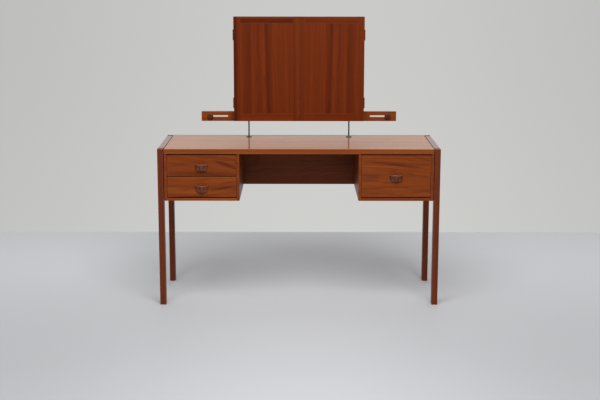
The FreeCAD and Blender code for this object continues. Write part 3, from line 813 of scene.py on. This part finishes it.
@dataclass(frozen=True)
class StudioPaint:
    """Matt paint of the floor, with faint scuffs and painted shade that darkens it further from the table.

    Args:
        name: finish name.
        colour: of the paint.
        falloff: how much darker the painted shade makes the front corners.
        depth: distances back at which the painted shade starts and is full.
        middle: how much of the painted shade the middle is spared.
        middle_half: half of the middle's width.
        base: brightness of the plain paint.
        cloudy: how much the clouds add.
        scuffed: how much the scuffs add.
        roughness: of the plain paint.
        scuff_rough: roughness that the scuffs add.
        specular: strength of its reflection.
        bump: strength of the relief.
        relief: height of the scuffs, in metres.
    """

    name: str
    colour: Colour
    falloff: float = 0.3
    depth: tuple[float, float] = (0.9, -1.2)
    middle: float = 0.5
    middle_half: float = 1.1
    base: float = 0.97
    cloudy: float = 0.04
    scuffed: float = 0.02
    roughness: float = 0.55
    scuff_rough: float = 0.1
    specular: float = 0.25
    bump: float = 0.05
    relief: float = 0.0005

    def make(self) -> bpy.types.Material:
        """Makes the material.

        Returns:
            The finish, ready for a piece.
        """
        net = Network.material(self.name)
        axes = net.axes()
        across, ahead, _ = axes
        scuff = even(24.0, 4.0, 0.6).over(axes)
        # Painted shade: the floor is darkened towards the front, less so in the middle.
        spared = 1.0 - self.middle * across.bell(0.0, self.middle_half)
        painted_falloff_shade = 1.0 - self.falloff * ahead.ramp(*self.depth) * spared
        shade = self.cloudy * even(0.7, 3.0).over(axes) + self.scuffed * scuff + self.base
        sockets = {
            "Base Color": net.shaded(self.colour, shade * painted_falloff_shade),
            "Roughness": scuff * self.scuff_rough + self.roughness,
            "Specular IOR Level": self.specular,
            "Normal": net.bump(scuff, self.bump, self.relief),
        }
        return net.surface(sockets)


TABLE_TEAK = Wood(
    "table_teak", light=(0.3, 0.08, 0.013), dark=(0.16, 0.034, 0.007), vein=(0.06, 0.012, 0.004),
    coat=0.15, coat_roughness=0.2, roughness=0.5, specular=0.2,
)
TOP_TEAK = Wood(
    "top_teak", light=(0.44, 0.15, 0.022), dark=(0.2, 0.05, 0.008), vein=(0.08, 0.016, 0.004),
    coat=0.72, coat_roughness=0.08, roughness=0.45, specular=0.3, relief=0.00005, wear_and_highlight=0.2,
)
DRAWER_TEAK = Wood(
    "drawer_teak", light=(0.28, 0.07, 0.011), dark=(0.135, 0.027, 0.0058), vein=(0.06, 0.012, 0.004),
    coat=0.12, coat_roughness=0.2, veining=0.4, rings=90.0, specular=0.2,
)
LEG_TEAK = Wood(
    "leg_teak", light=(0.2, 0.046, 0.012), dark=(0.115, 0.025, 0.008), vein=(0.05, 0.011, 0.005),
    coat=0.15, coat_roughness=0.25, roughness=0.5, specular=0.25,
)
END_RAIL_TEAK = replace(LEG_TEAK, name="end_rail_teak", coat=1.0, coat_roughness=0.1)
DOOR_TEAK = Wood(
    "door_teak", light=(0.205, 0.04, 0.0052), dark=(0.098, 0.0155, 0.0024), vein=(0.04, 0.007, 0.002),
    coat=0.08, coat_roughness=0.25, roughness=0.5, streak=0.55, veining=0.25, specular=0.15,
)
INSIDE_TEAK = Wood(
    "inside_teak", light=(0.24, 0.06, 0.012), dark=(0.13, 0.028, 0.007), vein=(0.06, 0.012, 0.004),
    coat=0.2, coat_roughness=0.2, roughness=0.5, specular=0.2,
)
CARVED_TEAK = Wood(
    "carved_teak", light=(0.2, 0.048, 0.014), dark=(0.1, 0.022, 0.008), vein=(0.04, 0.009, 0.004),
    coat=0.6, coat_roughness=0.18, roughness=0.38, wear_and_highlight=0.25, veining=0.3, specular=0.4,
)
# Near-black strips behind the end frames, coloured with the painted shade of the gap.
SHADOW_GAP_STRIP = Wood(
    "shadow_gap_strip", light=(0.05, 0.02, 0.01), dark=(0.025, 0.01, 0.006), vein=(0.012, 0.006, 0.004),
    coat=0.0, roughness=0.7, wear_and_highlight=0.1,
)
DRAWER_WOOD = Wood(
    "drawer_wood", light=(0.62, 0.42, 0.23), dark=(0.47, 0.29, 0.14), vein=(0.34, 0.19, 0.085),
    coat=0.15, coat_roughness=0.3, roughness=0.5, veining=0.3, rings=320.0, wear_and_highlight=0.2,
)
DRAWER_PLY = Wood(
    "drawer_ply", light=(0.6, 0.43, 0.25), dark=(0.48, 0.32, 0.17), vein=(0.4, 0.25, 0.12),
    coat=0.1, coat_roughness=0.3, roughness=0.55, veining=0.2, rings=120.0, wear_and_highlight=0.15,
)
STEEL = Metal("post_steel", clean=(0.36, 0.36, 0.37), stained=(0.13, 0.125, 0.12), roughness=0.32, brushed=2)
DARK_STEEL = Metal("flange_steel", clean=(0.17, 0.15, 0.14), stained=(0.06, 0.05, 0.045), roughness=0.4)
# Felt for the dark strip that paints the shade in the gap between the doors.
GAP_SHADE_FELT = Felt()
BRASS = Metal("aged_brass", clean=(0.34, 0.19, 0.07), stained=(0.12, 0.06, 0.025), roughness=0.36)


# --------------------------------------------------------------------------- mesh helpers


def dress(node: bpy.types.Object, material: bpy.types.Material) -> None:
    """Gives a whole piece one material.

    Args:
        node: the piece.
        material: its finish.
    """
    if not node.material_slots:
        node.data.materials.append(material)
    for place in node.material_slots:
        place.material = material


def smooth_piece(name: str, mesh: bmesh.types.BMesh) -> bpy.types.Object:
    """Turns a built mesh into an object in the scene.

    Args:
        name: piece name.
        mesh: the built mesh, which is freed.
    Returns:
        The object.
    """
    bmesh.ops.recalc_face_normals(mesh, faces=mesh.faces)
    data = bpy.data.meshes.new(name)
    mesh.to_mesh(data)
    mesh.free()
    made = bpy.data.objects.new(name, data)
    bpy.context.scene.collection.objects.link(made)
    return made


@dataclass(frozen=True)
class Screw:
    """A countersunk wood screw with a single slot, seen by its head.

    Args:
        radius: of the head.
        proud: how far the head stands above the surface.
        rim_height: height of the head's rim, as a share of that.
        flat: radius of the head's flat top, as a share of its own.
        slot_width: width of the driver slot.
        slot_depth: how far the halves of the head reach below the surface.
        steps: divisions of each half's rim.
    """

    radius: float = 0.0022
    proud: float = 0.00005
    rim_height: float = 0.4
    flat: float = 0.82
    slot_width: float = 0.0006
    slot_depth: float = 0.0004
    steps: int = 14

    def set_in(
        self, name: str, place: Point, facing: Vector, body: str, finish: bpy.types.Material
    ) -> None:
        """Sets one screw in a surface.

        Args:
            name: piece name.
            place: middle of the head, on the surface.
            facing: the way that the head looks.
            body: the body that it rides on.
            finish: its material.
        """
        stand = Matrix.Translation(place) @ facing.to_track_quat("Z", "Y").to_matrix().to_4x4()
        half_slot = self.slot_width / 2.0
        start = math.asin(half_slot / self.radius)
        sweep = (math.pi - 2.0 * start) / self.steps
        angles = [start + sweep * step for step in range(self.steps + 1)]
        outline = (
            (self.radius, -self.slot_depth),
            (self.radius, self.proud * self.rim_height),
            (self.radius * self.flat, self.proud),
        )
        mesh = bmesh.new()
        for side in (-1.0, 1.0):
            rims = []
            for radius, height in outline:
                inset = half_slot * (1.0 - radius / self.radius)
                rims.append([
                    mesh.verts.new(stand @ Vector((
                        radius * math.cos(angle), side * (radius * math.sin(angle) + inset), height,
                    ))) for angle in angles
                ])
            mesh.faces.new(rims[0])
            mesh.faces.new(rims[-1][::-1])
            for lower, upper in zip(rims, rims[1:]):
                for first in range(len(angles)):
                    after = (first + 1) % len(angles)
                    mesh.faces.new((lower[first], upper[first], upper[after], lower[after]))
        made = smooth_piece(name, mesh)
        dress(made, finish)
        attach(made, body)
        LOG.info("%s on %s", name, body)


@dataclass
class SubAssembly:
    """A part of the table whose nodes are dressed together.

    Args:
        frame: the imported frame.
    """

    frame: dict

    def wood(self, node: str, finish: Wood, board: Board) -> None:
        """Dresses one node in wood.

        Args:
            node: CAD node name.
            finish: the wood finish.
            board: how the board was cut.
        """
        dress(self.frame["nodes"][node], finish.make(board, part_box(node)))
        LOG.info("%s: %s", node, finish.name)

    def plain(self, node: str, material: bpy.types.Material) -> None:
        """Dresses one node in a ready material."""
        dress(self.frame["nodes"][node], material)
        LOG.info("%s: %s", node, material.name)


@dataclass
class TableTop(SubAssembly):
    """The veneered top with its solid lippings."""

    def build(self) -> None:
        """Dresses the top."""
        self.wood("table_top", TOP_TEAK, Board(Grain.TOP, 1.0, heart=0.05, pith=0.1, slope=0.012))
        self.wood("top_lippings", TABLE_TEAK, Board(Grain.TOP, 2.0, pith=0.4, tone=1.05))


@dataclass
class EndFrames(SubAssembly):
    """Four legs, two end rails and the near-black strips behind them, whose colour is painted shade in the
    gap.
    """

    def build(self) -> None:
        """Dresses the end frames."""
        legs = ("left_front_leg", "left_back_leg", "right_front_leg", "right_back_leg")
        for seed, leg in enumerate(legs, start=3):
            self.wood(leg, LEG_TEAK, Board(Grain.UPRIGHT, seed, heart=0.9, pith=0.5))
        for seed, rail in enumerate(("left_end_rail", "right_end_rail"), start=8):
            self.wood(rail, END_RAIL_TEAK, Board(Grain.SIDE, seed, heart=0.3, pith=0.9))
        # The strips' near-black colour is painted shade in the gap behind the frames.
        self.wood("end_frame_spacers", SHADOW_GAP_STRIP, Board(Grain.SIDE, 10.0))


@dataclass
class Carcass(SubAssembly):
    """Two pedestals, the back panel between them and what holds the top and the drawers."""

    def build(self) -> None:
        """Dresses the pedestals and the back panel."""
        sides = ("left_outer_side", "left_inner_side", "right_inner_side", "right_outer_side")
        for seed, side in enumerate(sides, start=11):
            self.wood(side, INSIDE_TEAK, Board(Grain.SIDE, seed, heart=0.58, pith=0.7))
        self.wood("left_pedestal_bottom", TABLE_TEAK, Board(Grain.TOP, 16.0, heart=0.1, tone=1.1))
        self.wood("right_pedestal_bottom", TABLE_TEAK, Board(Grain.TOP, 17.0, heart=0.1, tone=0.82))
        self.wood("back_panel", INSIDE_TEAK, Board(Grain.FRONT, 18.0, heart=0.6, pith=0.12))
        self.wood("pedestal_top_rails", DRAWER_WOOD, Board(Grain.TOP, 19.0))
        self.wood("drawer_runners", DRAWER_WOOD, Board(Grain.SIDE, 20.0))


class Figure(Enum):
    """How each drawer front's veneer was cut."""

    UPPER_LEFT = Board(Grain.FRONT, 21.0, heart=0.735, pith=0.02, slope=0.16, tone=1.06, flames=(
        Flame(-0.325, 0.65, 0.085, 0.013, -0.33, 0.9),
        Flame(-0.43, 0.606, 0.26, 0.018, -0.03, 0.55),
        Flame(-0.54, 0.65, 0.12, 0.02, 0.1, 0.3),
    ))
    LOWER_LEFT = Board(Grain.FRONT, 22.0, heart=0.62, pith=0.03, slope=0.06, tone=1.06, flames=(
        Flame(-0.34, 0.54, 0.1, 0.008, 0.22, 0.65),
        Flame(-0.315, 0.563, 0.07, 0.007, 0.16, 0.55),
        Flame(-0.42, 0.508, 0.2, 0.01, 0.04, 0.5),
    ))
    RIGHT = Board(Grain.FRONT, 23.0, heart=0.6, pith=0.03, slope=0.05, flames=(
        Flame(0.44, 0.645, 0.2, 0.011, -0.13, 0.65),
        Flame(0.5, 0.62, 0.12, 0.02, -0.1, 0.3),
    ))


@dataclass
class Drawer(SubAssembly):
    """One drawer: veneered front, dovetailed box and carved pull.

    Args:
        name: the drawer's body.
        figure: how the veneer of its front was laid.
        screw: the two screws that hold its pull.
        screw_spread: how far each stands from the pull's middle.
        lip_depth: how far down from the pull's top the painted highlight on its lip reaches.
        lip_painted_highlight: how strong that painted highlight is.
    """

    name: str
    figure: Figure
    screw: Screw = Screw(radius=0.0034, proud=0.0006, slot_width=0.0009, slot_depth=0.0008)
    screw_spread: float = 0.016
    lip_depth: float = 0.008
    lip_painted_highlight: float = 2.4

    def build(self) -> None:
        """Dresses the drawer and drives the two screws that hold its pull."""
        seed = self.figure.value.seed
        self.wood(f"{self.name}_front", DRAWER_TEAK, self.figure.value)
        self.wood(f"{self.name}_sides", DRAWER_WOOD, Board(Grain.SIDE, seed + 5.0, heart=0.4))
        self.wood(f"{self.name}_back", DRAWER_WOOD, Board(Grain.FRONT, seed + 9.0, heart=0.4))
        self.wood(f"{self.name}_bottom", DRAWER_PLY, Board(Grain.TOP, seed + 13.0, pith=0.05))
        low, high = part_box(f"{self.name}_pull")
        # A painted highlight along the top of the pull's lip, where the light from above catches it.
        lip = Ribbon(high.z, self.lip_depth, self.lip_painted_highlight)
        pull = Board(Grain.FRONT, seed + 17.0, heart=0.4, wear_and_painted_highlight=lip)
        self.wood(f"{self.name}_pull", CARVED_TEAK, pull)
        middle = (low + high) / 2.0
        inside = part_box(f"{self.name}_front")[1].y
        brass = BRASS.make()
        for word, spread in (("left", -self.screw_spread), ("right", self.screw_spread)):
            place = (middle.x + spread, inside, middle.z)
            self.screw.set_in(f"{self.name}_{word}_pull_screw", place, BACKWARD, self.name, brass)


@dataclass
class MirrorPosts(SubAssembly):
    """Two slim posts with the flanges and nuts that fix them to the top."""

    def build(self) -> None:
        """Dresses the posts."""
        steel = STEEL.make()
        flange = DARK_STEEL.make()
        for post in ("left_mirror_post", "right_mirror_post"):
            self.plain(post, steel)
        for fitting in ("post_flanges", "post_nuts"):
            self.plain(fitting, flange)


@dataclass
class MirrorCase(SubAssembly):
    """The mirror's case, its middle glass, hinges and magnets.

    Args:
        pin: the screws round the back.
        pin_inset: how far they stand in from its edges.
        pin_rows: screws up each side.
        pin_columns: screws along the top, between the sides.
        covered: height of the back's foot that the stop rail covers.
    """

    pin: Screw = Screw(radius=0.0026, proud=0.0003, slot_width=0.0007, slot_depth=0.0006)
    pin_inset: float = 0.009
    pin_rows: int = 4
    pin_columns: int = 3
    covered: float = 0.04

    def build(self) -> None:
        """Dresses the case."""
        self.wood("mirror_case_sides", DOOR_TEAK, Board(Grain.UPRIGHT_SIDE, 50.0, heart=0.4))
        self.wood("mirror_case_top", DOOR_TEAK, Board(Grain.TOP, 51.0, heart=0.4))
        self.wood("mirror_case_bottom", DOOR_TEAK, Board(Grain.TOP, 52.0, heart=0.4))
        self.wood("mirror_case_back", DOOR_TEAK, Board(Grain.UPRIGHT, 53.0, heart=0.0, pith=0.03))
        self.plain("centre_mirror", SilveredGlass().make(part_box("centre_mirror")))
        self.plain("case_hinge_leaves", BRASS.make())
        self.plain("door_magnets", DARK_STEEL.make())
        self._back_pins()

    def _back_pins(self) -> None:
        """Drives the screws that hold the case's back, up its two sides and along its top."""
        brass = BRASS.make()
        low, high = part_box("mirror_case_back")
        left, right = low.x + self.pin_inset, high.x - self.pin_inset
        foot, head = low.z + self.covered + self.pin_inset, high.z - self.pin_inset
        rise = (head - foot) / (self.pin_rows - 1)
        step = (right - left) / (self.pin_columns + 1)
        places = [(x, foot + rise * row) for x in (left, right) for row in range(self.pin_rows)]
        places += [(left + step * column, head) for column in range(1, self.pin_columns + 1)]
        for number, (x, z) in enumerate(places, start=1):
            self.pin.set_in(f"case_back_screw_{number}", (x, high.y, z), BACKWARD, "table", brass)


@dataclass
class Door(SubAssembly):
    """One framed door with a veneered panel outside and a mirror inside.

    Args:
        name: the door's body.
        seed: which wood it was cut from.
        streaks: dark streaks in the panel, the same on both doors.
        top_rail_painted_shade: how much darker its top rail is painted, as painted shade.
        shade_drop: how far below the rail's top edge the painted shade is darkest.
        shade_half: half of the height of that band of painted shade.
        stile_painted_shade: a band of painted shade in a stile, or None.
        hinge_height: height of one hinge.
        hinge_play: how far a screw's place stands off the hinge's axis.
        leaf_screws: screws in each leaf of a hinge.
        screw_inset: how far they stand in from the leaf's inner edge.
        screw: the screws of the hinges.
        has_gap_shade_strip: whether it carries the dark felt strip in the gap to the other door, whose
            darkness is painted shade.
        gap_strip_thick: how far the strip stands out.
        gap_strip_half: half of its width.
        gap_strip_steps: divisions of its rounding.
    """

    name: str
    seed: float
    streaks: tuple[Ribbon, ...] = (
        Ribbon(0.147, 0.02, 0.6), Ribbon(0.075, 0.015, 0.25), Ribbon(0.235, 0.022, 0.3),
    )
    top_rail_painted_shade: float = 0.5
    shade_drop: float = 0.022
    shade_half: float = 0.026
    stile_painted_shade: Ribbon | None = None
    hinge_height: float = 0.05
    hinge_play: float = 0.0001
    leaf_screws: int = 3
    screw_inset: float = 0.0045
    screw: Screw = Screw()
    has_gap_shade_strip: bool = False
    gap_strip_thick: float = 0.001
    gap_strip_half: float = 0.004
    gap_strip_steps: int = 12

    def build(self) -> None:
        """Dresses the door."""
        panel = Board(Grain.UPRIGHT, 60.0, heart=0.147, pith=0.12, matched=True, ribbons=self.streaks)
        self.wood(f"{self.name}_panel", DOOR_TEAK, panel)
        # The stile's band of painted shade, if it has one.
        stile_shades = (self.stile_painted_shade,) if self.stile_painted_shade else ()
        stiles = Board(Grain.UPRIGHT, self.seed, heart=0.6, pith=0.4, ribbons=stile_shades)
        self.wood(f"{self.name}_stiles", DOOR_TEAK, stiles)
        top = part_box(f"{self.name}_rails")[1].z
        # A band of painted shade across the top rail.
        shade = (Ribbon(top - self.shade_drop, self.shade_half, self.top_rail_painted_shade),)
        rails = Board(Grain.FRONT, self.seed + 1.0, heart=0.6, pith=0.4, ribbons=shade, tone=1.12)
        self.wood(f"{self.name}_rails", DOOR_TEAK, rails)
        self.plain(f"{self.name}_mirror", SilveredGlass().make(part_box(f"{self.name}_mirror")))
        brass = BRASS.make()
        self.plain(f"{self.name}_hinge_leaves", brass)
        self._hinge_screws(brass)
        # A dark strip that paints the shade in the gap between the doors.
        if self.has_gap_shade_strip:
            self._gap_shade_strip()

    def _gap_shade_strip(self) -> None:
        """Glues a half-round dark felt strip along the edge that meets the other door, as painted shade in
        the gap.
        """
        low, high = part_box(f"{self.name}_stiles")
        middle = (low.y + high.y) / 2.0
        angles = [math.pi * (step / self.gap_strip_steps - 0.5) for step in range(self.gap_strip_steps + 1)]
        outline = [
            (high.x + self.gap_strip_thick * math.cos(angle), middle + self.gap_strip_half * math.sin(angle))
            for angle in angles
        ]
        mesh = bmesh.new()
        ends = [
            [mesh.verts.new((x, y, z)) for x, y in outline]
            for z in (low.z + self.gap_strip_half, high.z - self.gap_strip_half)
        ]
        for end in ends:
            mesh.faces.new(end)
        for first in range(len(outline)):
            after = (first + 1) % len(outline)
            mesh.faces.new((ends[0][first], ends[0][after], ends[1][after], ends[1][first]))
        gap_shade_strip = smooth_piece(f"{self.name}_gap_shade_strip", mesh)
        dress(gap_shade_strip, GAP_SHADE_FELT.make())
        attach(gap_shade_strip, self.name)
        LOG.info("%s: %s", gap_shade_strip.name, GAP_SHADE_FELT.name)

    def _hinge_screws(self, brass: bpy.types.Material) -> None:
        """Drives the screws of both hinges, into the door's leaves and into the case's.

        Args:
            brass: their material.
        """
        low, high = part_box(f"{self.name}_hinge_leaves")
        axis_y = (low.y + high.y) / 2.0
        inner = high.x - self.screw_inset if high.x < 0.0 else low.x + self.screw_inset
        spacing = self.hinge_height / self.leaf_screws
        for level, base in (("lower", low.z), ("upper", high.z - self.hinge_height)):
            for number in range(1, self.leaf_screws + 1):
                height = base + spacing * (number - 0.5)
                for leaf, body, facing in (("door", self.name, BACKWARD), ("case", "table", FORWARD)):
                    place = (inner, axis_y - facing.y * self.hinge_play, height)
                    name = f"{self.name}_{level}_{leaf}_screw_{number}"
                    self.screw.set_in(name, place, facing, body, brass)


@dataclass
class StopRail(SubAssembly):
    """The slotted rail behind the case, with its screws and the two sliding stops."""

    def build(self) -> None:
        """Dresses the rail and the stops."""
        self.wood("stop_rail", TABLE_TEAK, Board(Grain.FRONT, 70.0, heart=0.5, pith=0.3))
        self.plain("stop_rail_screws", BRASS.make())
        for seed, stop in enumerate(("left_stop", "right_stop"), start=72):
            self.wood(f"{stop}_knob", CARVED_TEAK, Board(Grain.UPRIGHT, seed, tone=0.6))
            self.plain(f"{stop}_nut", BRASS.make())


# --------------------------------------------------------------------------- studio


@dataclass(frozen=True)
class SoftBox:
    """One soft rectangular lamp.

    Args:
        name: lamp name.
        place: where it hangs.
        aim: what it faces.
        size: its width and height.
        power: in watts.
    """

    name: str
    place: Point
    aim: Point
    size: tuple[float, float]
    power: float

    def hang(self) -> None:
        """Hangs it in the scene."""
        data = bpy.data.lights.new(self.name, "AREA")
        data.shape = "RECTANGLE"
        data.size, data.size_y = self.size
        data.energy = self.power
        lamp = bpy.data.objects.new(self.name, data)
        lamp.location = self.place
        lamp.rotation_euler = (Vector(self.aim) - Vector(self.place)).to_track_quat("-Z", "Y").to_euler()
        bpy.context.scene.collection.objects.link(lamp)
        LOG.info("lamp %s", self.name)


@dataclass(frozen=True)
class Surroundings:
    """Pale wall colour behind the table, with painted shading and a painted pool of light, and the room that
    lights it.

    The camera sees the wall; everything else sees the room, dim in front and pale behind and above.

    Args:
        low: colour of the wall at its foot, painted lighter there.
        high: colour of the wall above that, painted darker.
        rise: heights of view at which the painted shading starts and ends changing.
        glow: how much brighter the wall is behind the table, as a painted pool of light.
        glow_middle: sideways direction in which that painted light is brightest.
        glow_half: how far sideways the brighter part reaches.
        front: colour of the room in front.
        back: colour of the room behind.
        turn: directions ahead at which the room's colour starts and ends changing.
        top: colour of the ceiling.
        ceiling: heights of view at which the ceiling starts and is full.
    """

    low: Colour = (0.475, 0.475, 0.463)
    high: Colour = (0.445, 0.445, 0.436)
    rise: tuple[float, float] = (-0.3, -0.02)
    glow: float = 0.16
    glow_middle: float = 0.02
    glow_half: float = 0.34
    front: Colour = (0.1, 0.1, 0.105)
    back: Colour = (0.55, 0.55, 0.55)
    turn: tuple[float, float] = (-0.5, 0.6)
    top: Colour = (0.5, 0.5, 0.5)
    ceiling: tuple[float, float] = (0.1, 0.9)

    def make(self) -> bpy.types.World:
        """Makes the world.

        Returns:
            The surroundings, ready for the scene.
        """
        world = bpy.data.worlds.new("studio")
        net = Network(world)
        side, ahead, up = net.coordinates("Generated")
        # Painted shading up the wall, and a painted pool of light behind the table.
        wall = net.blend(up.ramp(*self.rise), self.low, self.high)
        wall = net.shaded(wall, 1.0 + self.glow * side.bell(self.glow_middle, self.glow_half))
        room = net.blend(ahead.ramp(*self.turn), self.front, self.back)
        room = net.blend(up.ramp(*self.ceiling), room, self.top)
        seen = Signal(net, net.node("ShaderNodeLightPath").outputs["Is Camera Ray"])
        back = net.node("ShaderNodeBackground", None, {"Color": net.blend(seen, room, wall)})
        net.node("ShaderNodeOutputWorld", None, {"Surface": back.outputs[0]})
        return world


@dataclass
class Studio:
    """Pale floor, soft light and the camera.

    Args:
        floor_back: where the floor ends behind the table.
        floor_half: half of the floor's width.
        floor_front: where the floor ends in front.
        floor_colour: colour of the floor's paint.
        lamps: the soft boxes.
        lens: the camera's focal length, in millimetres.
        film: width of its film, in millimetres.
        eye: where it stands.
        pitch: how far it looks down, in degrees.
        turn: how far it looks to the right, in degrees.
        roll: how far it leans, in degrees.
        look: contrast of the finished view.
    """

    floor_back: float = 1.294
    floor_half: float = 7.0
    floor_front: float = -8.0
    floor_colour: Colour = (0.6, 0.61, 0.63)
    lamps: tuple[SoftBox, ...] = (
        SoftBox("key", (-0.1, -2.4, 3.6), (0.0, 0.0, 0.6), (3.4, 2.2), 110.0),
        SoftBox("front", (1.2, -5.0, 3.4), (0.0, 0.0, 0.7), (2.4, 1.6), 40.0),
        SoftBox("back", (0.0, 4.2, 4.6), (0.0, 0.0, 0.7), (2.4, 1.6), 18.0),
    )
    lens: float = 71.1
    film: float = 36.0
    eye: Point = (-0.0083, -5.4623, 1.5232)
    pitch: float = 11.158
    turn: float = 0.143
    roll: float = 0.077
    look: str = "Medium High Contrast"

    def build(self) -> None:
        """Makes the floor, the surroundings, the lights and the camera."""
        self._floor()
        bpy.context.scene.world = Surroundings().make()
        for lamp in self.lamps:
            lamp.hang()
        self._camera()
        view = bpy.context.scene.view_settings
        view.view_transform = "Standard"
        view.look = self.look

    def _floor(self) -> None:
        """Lays the floor."""
        mesh = bmesh.new()
        corners = (
            (-self.floor_half, self.floor_front, 0.0), (self.floor_half, self.floor_front, 0.0),
            (self.floor_half, self.floor_back, 0.0), (-self.floor_half, self.floor_back, 0.0),
        )
        mesh.faces.new([mesh.verts.new(corner) for corner in corners])
        floor = smooth_piece("studio_floor", mesh)
        dress(floor, StudioPaint("floor_paint", self.floor_colour).make())
        LOG.info("floor laid")

    def _camera(self) -> None:
        """Sets the camera."""
        data = bpy.data.cameras.new("camera")
        data.lens = self.lens
        data.sensor_width = self.film
        camera = bpy.data.objects.new("camera", data)
        turn = Matrix.Rotation(math.radians(-self.turn), 4, "Z")
        tilt = Matrix.Rotation(math.radians(90.0 - self.pitch), 4, "X")
        roll = Matrix.Rotation(math.radians(self.roll), 4, "Z")
        camera.matrix_world = Matrix.Translation(self.eye) @ turn @ tilt @ roll
        bpy.context.scene.collection.objects.link(camera)
        bpy.context.scene.camera = camera


def main() -> None:
    """Builds every sub-assembly in order."""
    logging.basicConfig(level=logging.INFO, format="%(name)s %(message)s")
    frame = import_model()
    Studio().build()
    TableTop(frame).build()
    EndFrames(frame).build()
    Carcass(frame).build()
    Drawer(frame, "upper_left_drawer", Figure.UPPER_LEFT).build()
    Drawer(frame, "lower_left_drawer", Figure.LOWER_LEFT).build()
    Drawer(frame, "right_drawer", Figure.RIGHT).build()
    MirrorPosts(frame).build()
    MirrorCase(frame).build()
    # Painted shade down the left door's outer stile, which is turned away from the light.
    painted_stile_shade = Ribbon(-0.306, 0.024, 1.1)
    Door(frame, "left_door", 61.0, top_rail_painted_shade=0.75, stile_painted_shade=painted_stile_shade, has_gap_shade_strip=True).build()
    Door(frame, "right_door", 64.0).build()
    StopRail(frame).build()


if __name__ == "__main__":
    main()
